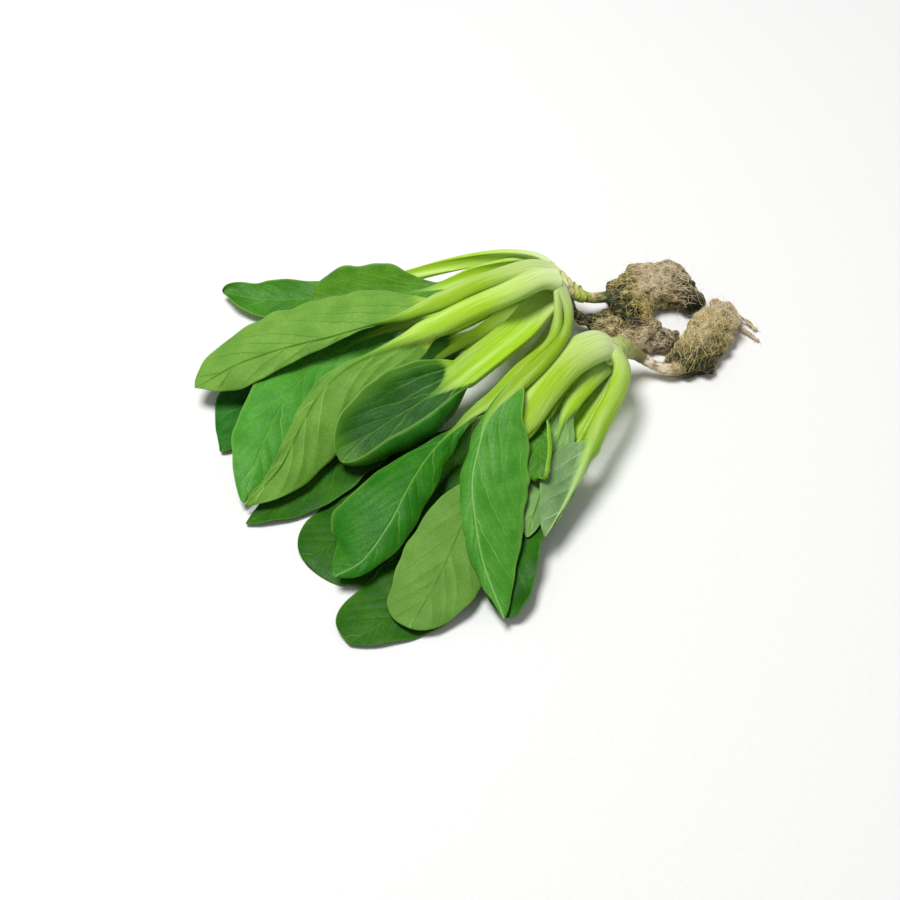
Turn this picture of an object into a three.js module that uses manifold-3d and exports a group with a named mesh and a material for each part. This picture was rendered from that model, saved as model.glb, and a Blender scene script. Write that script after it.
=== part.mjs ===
// Bok choy bunch: two heads, picked with their roots, lying on their side.
// Millimetres, +Z up. X runs from the leaf tips to the roots and Y from front to back.
// Each leaf is a stalk, whose rib runs on under the blade, and a thin blade.
// Leaves are laid one on another from the bottom up, each lifted just clear of those below.

import * as THREE from "three";
import { mergeVertices } from "three/addons/utils/BufferGeometryUtils.js";
import Module from "manifold-3d";

const wasm = await Module();
wasm.setup();

// Driving dimensions of every leaf
const BLADE_THICKNESS = 1.0;
const TIP_HALF_WIDTH = 1.0;
const EDGE_BESIDE_RIB = 0.8;

// The rib: its gap under the blade, its end, the share of the blade it reaches and how it tapers
const RIB_GAP = 0.45;
const RIB_END_HALF_WIDTH = 1.2;
const RIB_END_DEPTH = 1.2;
const RIB_SHARE = 0.8;
const RIB_NARROWING = 0.45;
const RIB_THINNING = 0.45;
const RIB_IN_BLADE = 0.6;
const RIB_PINCH_FROM = 0.5;

// Outer face of stalk and rib: depth of its edge, and place and depth of its shoulders
const STALK_EDGE = 1.0;
const STALK_EDGE_SHARE = 0.6;
const SHOULDER_PLACE = 0.6;
const SHOULDER_DEPTH = 0.8;

// Bends: shares of the length over which turn, curl and edge waves set in
const TURN_RUN = 0.12;
const CURL_RUN = 0.25;
const WAVE_RUN = 0.2;
const WAVE_SHIFT = 2;
const ARC_STEPS = 12;
const WAVES = 3;
const STALK_CURL = 0.55;

// Rows of the grid along the bare stalk, and rows in the crown that nothing rests on
const STALK_ROWS = 7;
const CROWN_ROWS = 3;

// Laying the leaves on each other
const CELL = 2;
const CLEARANCE = 0.5;
const LIFT_SPREAD = 0.97;
const LIFT_ALONG = 0.32;
const LIFT_ACROSS = 0.18;
const LIFT_ROUNDS = 80;
const NEAR_WEIGHT = 0.15;
const STEPS_PER_CELL = 1.5;
const TRIM_GAP = 0.35;
const TRIM_LEAST = 0.001;
const BLADE_SIMPLIFY = 0.03;
const SIMPLIFY = 0.004;
const LEAST_AREA = 1e-6;
const SAME_PLACE = 1e-4;
const LEAST_FACING = 0.4;

// Crowns and roots
const TUBE_SIDES = 8;
const TUBE_ROWS_BETWEEN = 2;
const TUBE_ROUGHNESS = 0.2;
const CROWN_SIDES = 10;
const CROWN_ROUGHNESS = 0.16;
const ROOTLET_SIDES = 5;
const ROOTLET_RADIUS = 2;
const LOBE_DETAIL = 2;
const LOBE_RELIEF = 0.12;
const LOBE_WAVES = new THREE.Vector3(5, 6, 7);
const LOBE_SKEW = 4;
const LOBE_SECOND = 0.6;

// Seeded noise
const NOISE_STEP = 16807;
const NOISE_RANGE = 2147483647;

// Places are read from one origin near the middle, and the bunch is centred at the end
const MAP_MIN = new THREE.Vector2(-200, -190);
const MAP_MAX = new THREE.Vector2(220, 210);

// Greens of the blades by the side that faces up, and the other colours
const COLOURS = {
  deep: 0x1f5a1d,
  leaf: 0x35862a,
  underside: 0x7fb35a,
  grey: 0x86a87c,
  stalk: 0xb4d867,
  crown: 0xc9d6a0,
  root: 0x6b5d3c,
};
const ROUGHNESS = { blade: 0.5, stalk: 0.35, crown: 0.6, root: 0.95 };

// Each leaf: route of its middle line from crown to tip as x, y, height; share of the length
// that is bare stalk; half widths; stalk depth; turn of the inner face from straight up at the
// crown and in the blade, in degrees; curl at the blade's two edges, in radians; edge waves.
// Shape of each side of the blade: how slim it ends and begins, and how far out it is widest.
// The fold of a side is 1 for an even arc, and more where the curl keeps to the edge.
const LEAVES = [
  {
    name: "a1",
    route: [
      [96, 65, 33], [89, 74, 36], [71, 86, 36], [43, 101, 30], [16, 114, 22],
      [-16, 125, 15], [-43, 137, 10], [-71, 153, 8], [-90, 173, 7],
    ],
    bare: 0.42,
    stalk: [4.5, 3.2],
    depth: 4,
    half: [20, 14],
    round: [0.8, 0.4],
    widest: [1.15, 1.9],
    base: [1.3, 1.3],
    turn: [-100, -10],
    curl: [0.45, 0.5],
    fold: [1, 1],
    wave: 2.2,
    colour: COLOURS.deep,
    rows: 9,
    sides: 3,
  },
  {
    name: "a2",
    route: [
      [99, 67, 28], [85, 76, 31], [54, 82, 34], [29, 86, 31], [3, 96, 27],
      [-22, 113, 22], [-45, 130, 16],
    ],
    bare: 0.42,
    stalk: [5, 3.6],
    depth: 4.5,
    half: [24, 32],
    round: [0.6, 0.25],
    widest: [1.3, 1.5],
    base: [1.3, 1.3],
    turn: [-90, -12],
    curl: [0.2, -0.5],
    fold: [1, 1],
    wave: 0.8,
    colour: COLOURS.leaf,
    rows: 9,
    sides: 3,
  },
  {
    name: "a3",
    route: [
      [94, 57, 36], [80, 62, 41], [58, 64, 42], [35, 63, 44], [15, 61, 45],
      [-10, 62, 45], [-35, 66, 44], [-60, 72, 41], [-88, 81, 37], [-116, 89, 30],
      [-145, 96, 16],
    ],
    bare: 0.34,
    stalk: [6, 5.2],
    depth: 5.5,
    half: [36, 16],
    round: [0.45, 1],
    widest: [0.85, 2.9],
    base: [0.7, 0.9],
    turn: [180, 170],
    curl: [0.45, 0.6],
    fold: [1, 1],
    wave: 1,
    colour: COLOURS.underside,
    rows: 11,
    sides: 3,
  },
  {
    name: "a4",
    route: [
      [99, 63, 24], [75, 66, 20], [30, 66, 14], [-12, 71, 10], [-52, 78, 7],
      [-89, 82, 5], [-119, 75, 4], [-150, 51, 3],
    ],
    bare: 0.4,
    stalk: [5, 4],
    depth: 4,
    half: [26, 33],
    round: [0.6, 0.9],
    widest: [1.3, 0.9],
    base: [1.3, 1.3],
    turn: [-40, 0],
    curl: [-0.2, -0.2],
    fold: [1, 1],
    wave: 2,
    colour: COLOURS.deep,
    rows: 8,
    sides: 2,
  },
  {
    name: "a5",
    route: [
      [97, 63, 28], [61, 68, 27], [23, 70, 27], [-15, 73, 27], [-45, 72, 27],
      [-75, 67, 25], [-98, 56, 24], [-120, 40, 20], [-140, 21, 15], [-157, 4, 8],
    ],
    bare: 0.36,
    stalk: [5, 4.2],
    depth: 4.5,
    half: [23, 24],
    round: [0.75, 0.75],
    widest: [0.95, 1.3],
    base: [0.9, 0.9],
    turn: [-60, -8],
    curl: [-0.25, -0.35],
    fold: [1, 1],
    wave: 1,
    colour: COLOURS.leaf,
    rows: 10,
    sides: 3,
  },
  {
    name: "a6",
    route: [
      [91, 49, 37], [78, 50, 42], [55, 46, 45], [25, 46, 44], [-5, 45, 42],
      [-31, 47, 40], [-62, 46, 38], [-87, 38, 33], [-109, 23, 27], [-130, 8, 19],
      [-157, 1, 7],
    ],
    bare: 0.36,
    stalk: [7.5, 6.6],
    depth: 6.5,
    half: [6.5, 33],
    round: [0.8, 0.8],
    widest: [1.15, 0.9],
    base: [0.7, 0.65],
    turn: [180, 172],
    curl: [0.35, 0.6],
    fold: [1, 1],
    wave: 1.4,
    colour: COLOURS.underside,
    rows: 11,
    sides: 3,
  },
  {
    name: "a7",
    route: [
      [93, 50, 26], [80, 45, 27], [55, 30, 30], [38, 23, 32], [12, 15, 32],
      [-12, 9, 30], [-34, 7, 27], [-56, 5, 24], [-75, 2, 21], [-93, -3, 16],
    ],
    bare: 0.5,
    stalk: [10.5, 10],
    depth: 6.5,
    half: [48, 28],
    round: [0.45, 0.5],
    widest: [1, 0.95],
    base: [1, 0.4],
    turn: [4, -10],
    curl: [3.2, 0.5],
    fold: [2.3, 1],
    wave: 0.8,
    colour: COLOURS.deep,
    rows: 12,
    sides: 5,
  },
  {
    name: "a8",
    route: [
      [98, 59, 20], [65, 55, 20], [35, 49, 17], [3, 45, 14], [-34, 31, 10],
      [-79, 12, 7], [-122, -3, 4], [-161, -8, 2],
    ],
    bare: 0.24,
    stalk: [6, 5],
    depth: 5,
    half: [25, 25],
    round: [0.75, 0.75],
    widest: [1.2, 1],
    base: [0.8, 0.7],
    turn: [5, 0],
    curl: [0.15, 0.25],
    fold: [1, 1],
    wave: 1.2,
    colour: COLOURS.deep,
    rows: 9,
    sides: 2,
  },
  {
    name: "a9",
    route: [
      [93, 50, 29], [75, 23, 37], [60, 6, 39], [30, -9, 42], [4, -22, 42],
      [-20, -26, 37], [-47, -36, 34], [-71, -51, 32], [-95, -68, 26], [-118, -78, 18],
      [-136, -77, 13],
    ],
    bare: 0.44,
    stalk: [6, 4.4],
    depth: 5,
    half: [15, 35],
    round: [0.7, 0.6],
    widest: [1.2, 2.6],
    base: [1.1, 1.3],
    turn: [100, -5],
    curl: [-0.9, -0.35],
    fold: [1, 1],
    wave: 0.8,
    colour: COLOURS.leaf,
    rows: 11,
    sides: 3,
  },
  {
    name: "a10",
    route: [
      [94, 48, 29], [79, 18, 40], [62, -3, 45], [38, -19, 48], [14, -30, 50],
      [-9, -38, 44], [-25, -53, 39], [-40, -71, 34], [-52, -97, 27], [-59, -119, 19],
      [-64, -150, 10],
    ],
    bare: 0.42,
    stalk: [6, 4.6],
    depth: 5,
    half: [34, 9],
    round: [0.75, 0.75],
    widest: [0.85, 1.1],
    base: [0.7, 0.7],
    turn: [110, -8],
    curl: [-0.15, -1.2],
    fold: [1, 1],
    wave: 0.8,
    colour: COLOURS.leaf,
    rows: 11,
    sides: 3,
  },
  {
    name: "a11",
    route: [
      [100, 55, 18], [85, 36, 15], [53, 18, 11], [4, -3, 8], [-44, -24, 6],
      [-91, -46, 4], [-143, -49, 1],
    ],
    bare: 0.38,
    stalk: [5, 4],
    depth: 4,
    half: [46, 36],
    round: [0.45, 0.45],
    widest: [1.7, 1.7],
    base: [1.3, 1.3],
    turn: [40, 0],
    curl: [-0.1, -0.1],
    fold: [1, 1],
    wave: 1.2,
    colour: COLOURS.deep,
    rows: 9,
    sides: 3,
  },
  {
    name: "b1",
    route: [
      [92, -14, 30], [82, -13, 37], [58, -19, 39], [27, -35, 38], [-2, -53, 33],
      [-30, -69, 27], [-58, -88, 21], [-86, -110, 15], [-114, -127, 7],
    ],
    bare: 0.38,
    stalk: [12.5, 11.5],
    depth: 6.5,
    half: [26, 28],
    round: [0.3, 0.5],
    widest: [2.2, 1.5],
    base: [1.3, 1.3],
    turn: [180, 172],
    curl: [0.35, 0.4],
    fold: [1, 1],
    wave: 1.2,
    colour: COLOURS.underside,
    rows: 10,
    sides: 3,
  },
  {
    name: "b2",
    route: [
      [95, -16, 27], [87, -36, 33], [71, -52, 33], [53, -65, 31], [35, -80, 28],
      [14, -97, 25], [-1, -107, 22], [-16, -116, 19],
    ],
    bare: 0.55,
    stalk: [6, 4.8],
    depth: 5.5,
    half: [21, 2.5],
    round: [0.8, 0.75],
    widest: [0.8, 1.2],
    base: [0.45, 1.3],
    turn: [130, 145],
    curl: [0.3, 0.6],
    fold: [1, 1],
    wave: 0.8,
    colour: COLOURS.grey,
    rows: 9,
    sides: 3,
  },
  {
    name: "b3",
    route: [
      [94, -19, 22], [76, -34, 20], [53, -49, 21], [30, -64, 20], [7, -79, 17],
      [-17, -97, 15], [-38, -120, 11], [-61, -147, 6],
    ],
    bare: 0.5,
    stalk: [7.5, 6.5],
    depth: 4.5,
    half: [14, 20],
    round: [0.3, 0.55],
    widest: [1.7, 1.3],
    base: [0.8, 1],
    turn: [50, 8],
    curl: [0.3, 0.3],
    fold: [1, 1],
    wave: 1.5,
    colour: COLOURS.deep,
    rows: 8,
    sides: 2,
  },
  {
    name: "b4",
    route: [
      [93, -18, 24], [76, -26, 26], [61, -34, 28], [48, -42, 30], [36, -51, 30],
      [25, -62, 29], [13, -72, 28], [3, -83, 26], [-8, -94, 24], [-18, -103, 20],
      [-24, -109, 15],
    ],
    bare: 0.34,
    stalk: [5, 4.5],
    depth: 3.5,
    half: [11, 13],
    round: [0.6, 0.6],
    widest: [1, 1],
    base: [0.6, 0.6],
    turn: [150, 170],
    curl: [0.4, 0.4],
    fold: [1, 1],
    wave: 0.6,
    colour: COLOURS.grey,
    rows: 8,
    sides: 2,
  },
  {
    name: "b5",
    route: [
      [96, -12, 16], [66, -25, 11], [29, -44, 8], [-9, -64, 6], [-52, -87, 6],
      [-98, -108, 4], [-148, -117, 3],
    ],
    bare: 0.36,
    stalk: [6, 5],
    depth: 5,
    half: [26, 30],
    round: [0.7, 0.25],
    widest: [1.3, 1.8],
    base: [1.3, 1.3],
    turn: [10, 0],
    curl: [-0.1, -0.05],
    fold: [1, 1],
    wave: 1,
    colour: COLOURS.deep,
    rows: 9,
    sides: 3,
  },
  {
    name: "b6",
    route: [
      [92, -14, 23], [75, -19, 24], [55, -27, 26], [37, -37, 28], [24, -47, 29],
      [15, -58, 30], [8, -70, 30], [2, -79, 29], [-3, -87, 27],
    ],
    bare: 0.56,
    stalk: [4, 3.5],
    depth: 3,
    half: [14, 8],
    round: [0.15, 0.25],
    widest: [1.3, 1.3],
    base: [0.7, 0.7],
    turn: [10, 0],
    curl: [2.9, 0.3],
    fold: [1.5, 1],
    wave: 0.5,
    colour: COLOURS.leaf,
    rows: 6,
    sides: 3,
  },
  {
    name: "b7",
    route: [
      [94, -12, 18], [56, -28, 16], [17, -45, 14], [-16, -58, 11], [-52, -72, 10],
      [-85, -86, 8],
    ],
    bare: 0.36,
    stalk: [5.5, 4.5],
    depth: 4,
    half: [24, 24],
    round: [0.75, 0.75],
    widest: [1.2, 1.2],
    base: [0.8, 0.8],
    turn: [10, 0],
    curl: [0.2, 0.2],
    fold: [1, 1],
    wave: 1.2,
    colour: COLOURS.deep,
    rows: 7,
    sides: 2,
  },
];

// The two heads: stations are x, y, height and radius, from the roots towards the leaves
const HEADS = [
  {
    name: "a",
    seed: 11,
    crown: [[112, 43, 17, 4], [105, 48, 21, 5], [99, 52, 26, 7.5], [94, 58, 32, 8], [87, 57, 34, 5]],
    neck: [[112, 43, 17, 3.6], [121, 41, 14, 3.6], [130, 39, 13, 4], [140, 38, 12, 6]],
    strands: [
      [[101, 47, 21, 3], [99, 39, 15, 3.2], [103, 32, 11, 3.4], [112, 27, 9, 5]],
      [[166, 44, 20, 1], [180, 44, 17, 0.9], [188, 34, 8, 0.8]],
    ],
    lobes: [
      { at: [142, 40, 10], size: [14, 11, 11] },
      { at: [156, 37, 12], size: [17, 16, 13] },
      { at: [168, 31, 11], size: [14, 17, 12] },
      { at: [176, 18, 8], size: [10, 12, 10] },
      { at: [136, 25, 9], size: [15, 14, 11] },
      { at: [117, 20, 7], size: [13, 12, 9] },
      { at: [130, 7, 6], size: [17, 13, 8] },
      { at: [141, -4, 4], size: [12, 8, 6] },
    ],
  },
  {
    name: "b",
    seed: 29,
    crown: [
      [116, -20, 15, 3.6], [111, -17, 20, 4.4], [105, -16, 25, 6.5], [97, -15, 29, 8], [89, -14, 30, 5],
    ],
    neck: [[116, -20, 15, 3.4], [123, -26, 10, 3.5], [131, -32, 8, 4], [141, -31, 7, 5]],
    strands: [
      [[186, -8, 8, 1], [194, -20, 4, 0.9], [199, -34, 1.5, 0.8]],
      [[190, -6, 9, 1], [199, -14, 5, 0.9], [203, -25, 1.5, 0.8]],
    ],
    lobes: [
      { at: [143, -29, 6], size: [11, 11, 9] },
      { at: [153, -29, 7], size: [13, 14, 10] },
      { at: [165, -21, 8], size: [14, 14, 11] },
      { at: [177, -14, 9], size: [13, 14, 11] },
      { at: [187, -8, 7], size: [10, 12, 9] },
    ],
  },
];

// Order in which the leaves are laid, from the surface up
const LAYING_ORDER = [
  "a11", "a8", "b5", "b7", "a4", "a1", "a2", "b3", "a5",
  "a3", "a6", "a7", "b4", "b2", "b6", "b1", "a9", "a10",
];

const mix = THREE.MathUtils.lerp;
const ease = THREE.MathUtils.smoothstep;

// Half width of a blade at a share of its length: a wedge at the stalk and a round point at the tip
function bladeHalfWidth(leaf, along, plusSide) {
  const hand = plusSide ? 1 : 0;
  const swell = Math.max(Math.sin(Math.PI * Math.pow(along, leaf.widest[hand])), 0);
  const slimness = mix(leaf.base[hand], leaf.round[hand], Math.min(along * 2, 1));
  return leaf.half[hand] * Math.pow(swell, slimness);
}

// Half width and depth of the stalk, and of the rib that it runs on as
function stalkHalfWidth(leaf, share) {
  if (share < leaf.bare) {
    return mix(leaf.stalk[0], leaf.stalk[1], share / leaf.bare);
  }
  const along = (share - leaf.bare) / (1 - leaf.bare) / RIB_SHARE;
  return mix(leaf.stalk[1], RIB_END_HALF_WIDTH, Math.min(Math.pow(along, RIB_NARROWING), 1));
}

function stalkDepth(leaf, share) {
  if (share < leaf.bare) {
    return leaf.depth;
  }
  const along = (share - leaf.bare) / (1 - leaf.bare) / RIB_SHARE;
  return mix(leaf.depth, RIB_END_DEPTH, Math.min(Math.pow(along, RIB_THINNING), 1));
}

// One point of the middle surface: v is the distance across from the rib
function surfacePoint(leaf, curve, share, v) {
  const place = curve.getPointAt(share);
  const along = curve.getTangentAt(share);
  const side = new THREE.Vector3().crossVectors(along, new THREE.Vector3(0, 0, 1)).normalize();
  const up = new THREE.Vector3().crossVectors(side, along);
  const turnShare = ease(share, 0, leaf.bare + TURN_RUN);
  const turn = THREE.MathUtils.degToRad(mix(leaf.turn[0], leaf.turn[1], turnShare));
  const inner = up.clone().multiplyScalar(Math.cos(turn)).addScaledVector(side, Math.sin(turn));
  const across = side.clone().multiplyScalar(Math.cos(turn)).addScaledVector(up, -Math.sin(turn));
  const bladeShare = Math.max((share - leaf.bare) / (1 - leaf.bare), 0);
  const plusSide = v > 0;
  const bladeHalf = bladeHalfWidth(leaf, bladeShare, plusSide);
  const half = Math.max(bladeHalf, stalkHalfWidth(leaf, share), TIP_HALF_WIDTH);
  const bladeCurl = leaf.curl[plusSide ? 1 : 0];
  const curl = mix(STALK_CURL, bladeCurl, ease(bladeShare, 0, CURL_RUN));
  const fold = mix(1, leaf.fold[plusSide ? 1 : 0], ease(bladeShare, 0, CURL_RUN));
  const phase = leaf.half[0] + (plusSide ? 0 : WAVE_SHIFT);
  const wave = leaf.wave * Math.sin(bladeShare * WAVES * 2 * Math.PI + phase) * ease(bladeShare, 0, WAVE_RUN);
  let level = 0;
  let rise = wave * Math.pow(v / half, 2);
  for (let k = 0; k < ARC_STEPS; k += 1) {
    const angle = curl * Math.pow(Math.abs(v) / half * (k + 0.5) / ARC_STEPS, fold);
    level += Math.cos(angle) * v / ARC_STEPS;
    rise += Math.sin(angle) * Math.abs(v) / ARC_STEPS;
  }
  return place.addScaledVector(across, level).addScaledVector(inner, rise);
}

// Grid of a leaf: rows run across it, and the three middle columns carry the rib
function makeGrid(leaf) {
  const places = leaf.route.map((place) => new THREE.Vector3(...place));
  const curve = new THREE.CatmullRomCurve3(places, false, "catmullrom");
  const shares = [];
  for (let i = 0; i < STALK_ROWS; i += 1) {
    shares.push(leaf.bare * i / STALK_ROWS);
  }
  for (let i = 0; i <= leaf.rows; i += 1) {
    shares.push(mix(leaf.bare, 1, i / leaf.rows));
  }
  const rows = shares.map((share) => {
    const bladeShare = Math.max((share - leaf.bare) / (1 - leaf.bare), 0);
    const halves = [false, true].map((plusSide) => bladeHalfWidth(leaf, bladeShare, plusSide));
    const edges = halves.map((half) => Math.max(half, TIP_HALF_WIDTH));
    const room = bladeShare > RIB_PINCH_FROM ? Math.min(...edges) * RIB_IN_BLADE : Infinity;
    const rib = Math.min(stalkHalfWidth(leaf, share), room);
    const columns = [-rib, 0, rib];
    for (let k = 1; k <= leaf.sides; k += 1) {
      columns.unshift(-mix(rib, Math.max(edges[0], rib + EDGE_BESIDE_RIB), k / leaf.sides));
      columns.push(mix(rib, Math.max(edges[1], rib + EDGE_BESIDE_RIB), k / leaf.sides));
    }
    return columns.map((v) => surfacePoint(leaf, curve, share, v));
  });
  const lift = rows.map((row) => row.map(() => 0));
  return { leaf, shares, rows, lift, bladeRow: STALK_ROWS, middle: leaf.sides + 1 };
}

// Height map of what has been laid
const MAP_COLUMNS = Math.ceil((MAP_MAX.x - MAP_MIN.x) / CELL);
const MAP_ROWS = Math.ceil((MAP_MAX.y - MAP_MIN.y) / CELL);
const heights = new Float64Array(MAP_COLUMNS * MAP_ROWS).fill(-CLEARANCE);

function cellOf(x, y) {
  const column = Math.floor((x - MAP_MIN.x) / CELL);
  const row = Math.floor((y - MAP_MIN.y) / CELL);
  return row * MAP_COLUMNS + column;
}

// How far a leaf's solid reaches above and below its middle surface, straight up and down
function reach(grid, row, column, facing) {
  const halfSheet = BLADE_THICKNESS / 2;
  const ribHere = Math.abs(column - grid.middle) <= 1;
  const rib = ribHere ? stalkDepth(grid.leaf, grid.shares[row]) + RIB_GAP : 0;
  const isStalk = row < grid.bladeRow;
  const inner = isStalk ? 0 : halfSheet;
  const outer = isStalk ? stalkDepth(grid.leaf, grid.shares[row]) + halfSheet : halfSheet + rib;
  const above = facing > 0 ? inner : outer;
  const below = facing > 0 ? outer : inner;
  return { above, below };
}

function facingOf(grid, row) {
  const share = ease(grid.shares[row], 0, grid.leaf.bare + TURN_RUN);
  return Math.cos(THREE.MathUtils.degToRad(mix(grid.leaf.turn[0], grid.leaf.turn[1], share)));
}

// Calls visit at points spread over some rows of a leaf, closer together than the map's cells
function sweepSurface(grid, firstRow, lastRow, visit) {
  for (let i = firstRow; i < lastRow; i += 1) {
    const reachColumns = i < grid.bladeRow ? 1 : grid.middle;
    for (let k = grid.middle - reachColumns; k < grid.middle + reachColumns; k += 1) {
      const corners = [[i, k], [i + 1, k], [i + 1, k + 1], [i, k + 1]];
      const points = corners.map(([r, c]) => grid.rows[r][c]);
      const lifts = corners.map(([r, c]) => grid.lift[r][c]);
      const spans = corners.map(([r, c]) => reach(grid, r, c, facingOf(grid, r)));
      const stepsAlong = Math.ceil(points[0].distanceTo(points[1]) / CELL * STEPS_PER_CELL) + 1;
      const stepsAcross = Math.ceil(points[1].distanceTo(points[2]) / CELL * STEPS_PER_CELL) + 1;
      for (let a = 0; a <= stepsAlong; a += 1) {
        for (let b = 0; b <= stepsAcross; b += 1) {
          const s = a / stepsAlong;
          const t = b / stepsAcross;
          const weights = [(1 - s) * (1 - t), s * (1 - t), s * t, (1 - s) * t];
          const blend = (values) => values.reduce((sum, value, n) => sum + value * weights[n], 0);
          const x = blend(points.map((p) => p.x));
          const y = blend(points.map((p) => p.y));
          const z = blend(points.map((p, n) => p.z + lifts[n]));
          const near = corners.filter((corner, n) => weights[n] > NEAR_WEIGHT);
          visit(x, y, z - blend(spans.map((q) => q.below)), z + blend(spans.map((q) => q.above)), near);
        }
      }
    }
  }
}

// Lifts a blade clear of what is laid, lets the lift fade out along the leaf, and adds the leaf to the map
function lay(grid) {
  const need = grid.rows.map((row) => row.map(() => 0));
  const lastRow = grid.rows.length - 1;
  sweepSurface(grid, grid.bladeRow, lastRow, (x, y, low, high, near) => {
    const wanted = heights[cellOf(x, y)] + CLEARANCE - low;
    for (const [r, c] of near) {
      need[r][c] = Math.max(need[r][c], wanted);
    }
  });
  for (let round = 0; round < LIFT_ROUNDS; round += 1) {
    for (let r = grid.bladeRow; r <= lastRow; r += 1) {
      const row = grid.lift[r];
      const before = grid.lift[Math.max(r - 1, grid.bladeRow)];
      const after = grid.lift[Math.min(r + 1, lastRow)];
      for (let c = 0; c < row.length; c += 1) {
        const left = row[Math.max(c - 1, 0)];
        const right = row[Math.min(c + 1, row.length - 1)];
        const spread = LIFT_SPREAD * (LIFT_ALONG * (before[c] + after[c]) + LIFT_ACROSS * (left + right));
        row[c] = Math.max(need[r][c], spread);
      }
    }
    grid.lift[grid.bladeRow].fill(Math.max(...grid.lift[grid.bladeRow]));
  }
  for (let r = 0; r < grid.bladeRow; r += 1) {
    grid.lift[r].fill(grid.lift[grid.bladeRow][0] * ease(r / grid.bladeRow, 0, 1));
  }
  sweepSurface(grid, CROWN_ROWS, lastRow, (x, y, low, high) => {
    const cell = cellOf(x, y);
    heights[cell] = Math.max(heights[cell], high);
  });
}

// Closed solid between rings of points, with the ends capped by fans round their first point
function solidFromRings(rings) {
  const size = rings[0].length;
  const position = [];
  for (const ring of rings) {
    for (const point of ring) {
      position.push(point.x, point.y, Math.max(point.z, 0));
    }
  }
  const index = [];
  for (let i = 0; i < rings.length - 1; i += 1) {
    for (let k = 0; k < size; k += 1) {
      const a = i * size + k;
      const b = i * size + (k + 1) % size;
      const c = (i + 1) * size + (k + 1) % size;
      const d = (i + 1) * size + k;
      index.push(a, b, d, b, c, d);
    }
  }
  const last = (rings.length - 1) * size;
  for (let k = 1; k < size - 1; k += 1) {
    index.push(0, k + 1, k);
    index.push(last, last + k, last + k + 1);
  }
  return makeGeometry(position, index);
}

function makeGeometry(position, index) {
  const geometry = new THREE.BufferGeometry();
  geometry.setAttribute("position", new THREE.Float32BufferAttribute(position, 3));
  geometry.setIndex(index);
  return geometry;
}

// Unit normals of a grid's lifted surface, on the inner side of the leaf
function gridNormals(grid, points) {
  return points.map((row, i) => row.map((point, k) => {
    const before = points[Math.max(i - 1, 0)][k];
    const after = points[Math.min(i + 1, points.length - 1)][k];
    const left = row[Math.max(k - 1, 0)];
    const right = row[Math.min(k + 1, row.length - 1)];
    const along = new THREE.Vector3().subVectors(after, before);
    const across = new THREE.Vector3().subVectors(right, left);
    return across.cross(along).normalize();
  }));
}

function liftedPoints(grid) {
  return grid.rows.map((row, i) => row.map((p, k) => new THREE.Vector3(p.x, p.y, p.z + grid.lift[i][k])));
}

// The blade: two faces split into triangles alike, joined round the edge
function makeBlade(grid) {
  const points = liftedPoints(grid);
  const normals = gridNormals(grid, points);
  const half = BLADE_THICKNESS / 2;
  const rings = [];
  for (let i = grid.bladeRow; i < points.length; i += 1) {
    const upper = points[i].map((p, k) => p.clone().addScaledVector(normals[i][k], half));
    const lower = points[i].map((p, k) => p.clone().addScaledVector(normals[i][k], -half));
    rings.push({ upper, lower });
  }
  return sheetSolid(rings);
}

function sheetSolid(rings) {
  const columns = rings[0].upper.length;
  const position = [];
  for (const ring of rings) {
    for (const point of [...ring.upper, ...ring.lower]) {
      position.push(point.x, point.y, Math.max(point.z, 0));
    }
  }
  const at = (row, column, face) => row * columns * 2 + face * columns + column;
  const index = [];
  const quad = (a, b, c, d) => index.push(a, b, c, a, c, d);
  for (let i = 0; i < rings.length - 1; i += 1) {
    for (let k = 0; k < columns - 1; k += 1) {
      quad(at(i, k, 0), at(i, k + 1, 0), at(i + 1, k + 1, 0), at(i + 1, k, 0));
      index.push(at(i, k, 1), at(i + 1, k + 1, 1), at(i, k + 1, 1));
      index.push(at(i, k, 1), at(i + 1, k, 1), at(i + 1, k + 1, 1));
    }
    quad(at(i, 0, 1), at(i, 0, 0), at(i + 1, 0, 0), at(i + 1, 0, 1));
    quad(at(i, columns - 1, 0), at(i, columns - 1, 1), at(i + 1, columns - 1, 1), at(i + 1, columns - 1, 0));
  }
  const last = rings.length - 1;
  for (let k = 0; k < columns - 1; k += 1) {
    quad(at(0, k, 0), at(0, k, 1), at(0, k + 1, 1), at(0, k + 1, 0));
    quad(at(last, k, 1), at(last, k, 0), at(last, k + 1, 0), at(last, k + 1, 1));
  }
  return makeGeometry(position, index);
}

// The stalk: hollow on its inner face, round on its outer face, running on under the blade as a rib
function makeStalk(grid) {
  const points = liftedPoints(grid);
  const normals = gridNormals(grid, points);
  const { leaf, middle } = grid;
  const lastRow = grid.bladeRow + Math.round(leaf.rows * RIB_SHARE);
  const rings = [];
  for (let i = 0; i <= lastRow; i += 1) {
    const set = BLADE_THICKNESS / 2 + RIB_GAP;
    const depth = stalkDepth(leaf, grid.shares[i]);
    const point = (column, down) => {
      const from = Math.floor(column);
      const to = Math.min(from + 1, middle + 1);
      const place = points[i][from].clone().lerp(points[i][to], column - from);
      const normal = normals[i][from].clone().lerp(normals[i][to], column - from).normalize();
      return place.addScaledVector(normal, -set - down);
    };
    const edge = Math.min(STALK_EDGE, depth * STALK_EDGE_SHARE);
    const inner = [point(middle - 1, 0), point(middle, 0), point(middle + 1, 0)];
    const outer = [
      point(middle + 1, edge),
      point(middle + SHOULDER_PLACE, depth * SHOULDER_DEPTH),
      point(middle, depth),
      point(middle - SHOULDER_PLACE, depth * SHOULDER_DEPTH),
      point(middle - 1, edge),
    ];
    rings.push([...inner, ...outer]);
  }
  return solidFromRings(rings);
}

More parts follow.
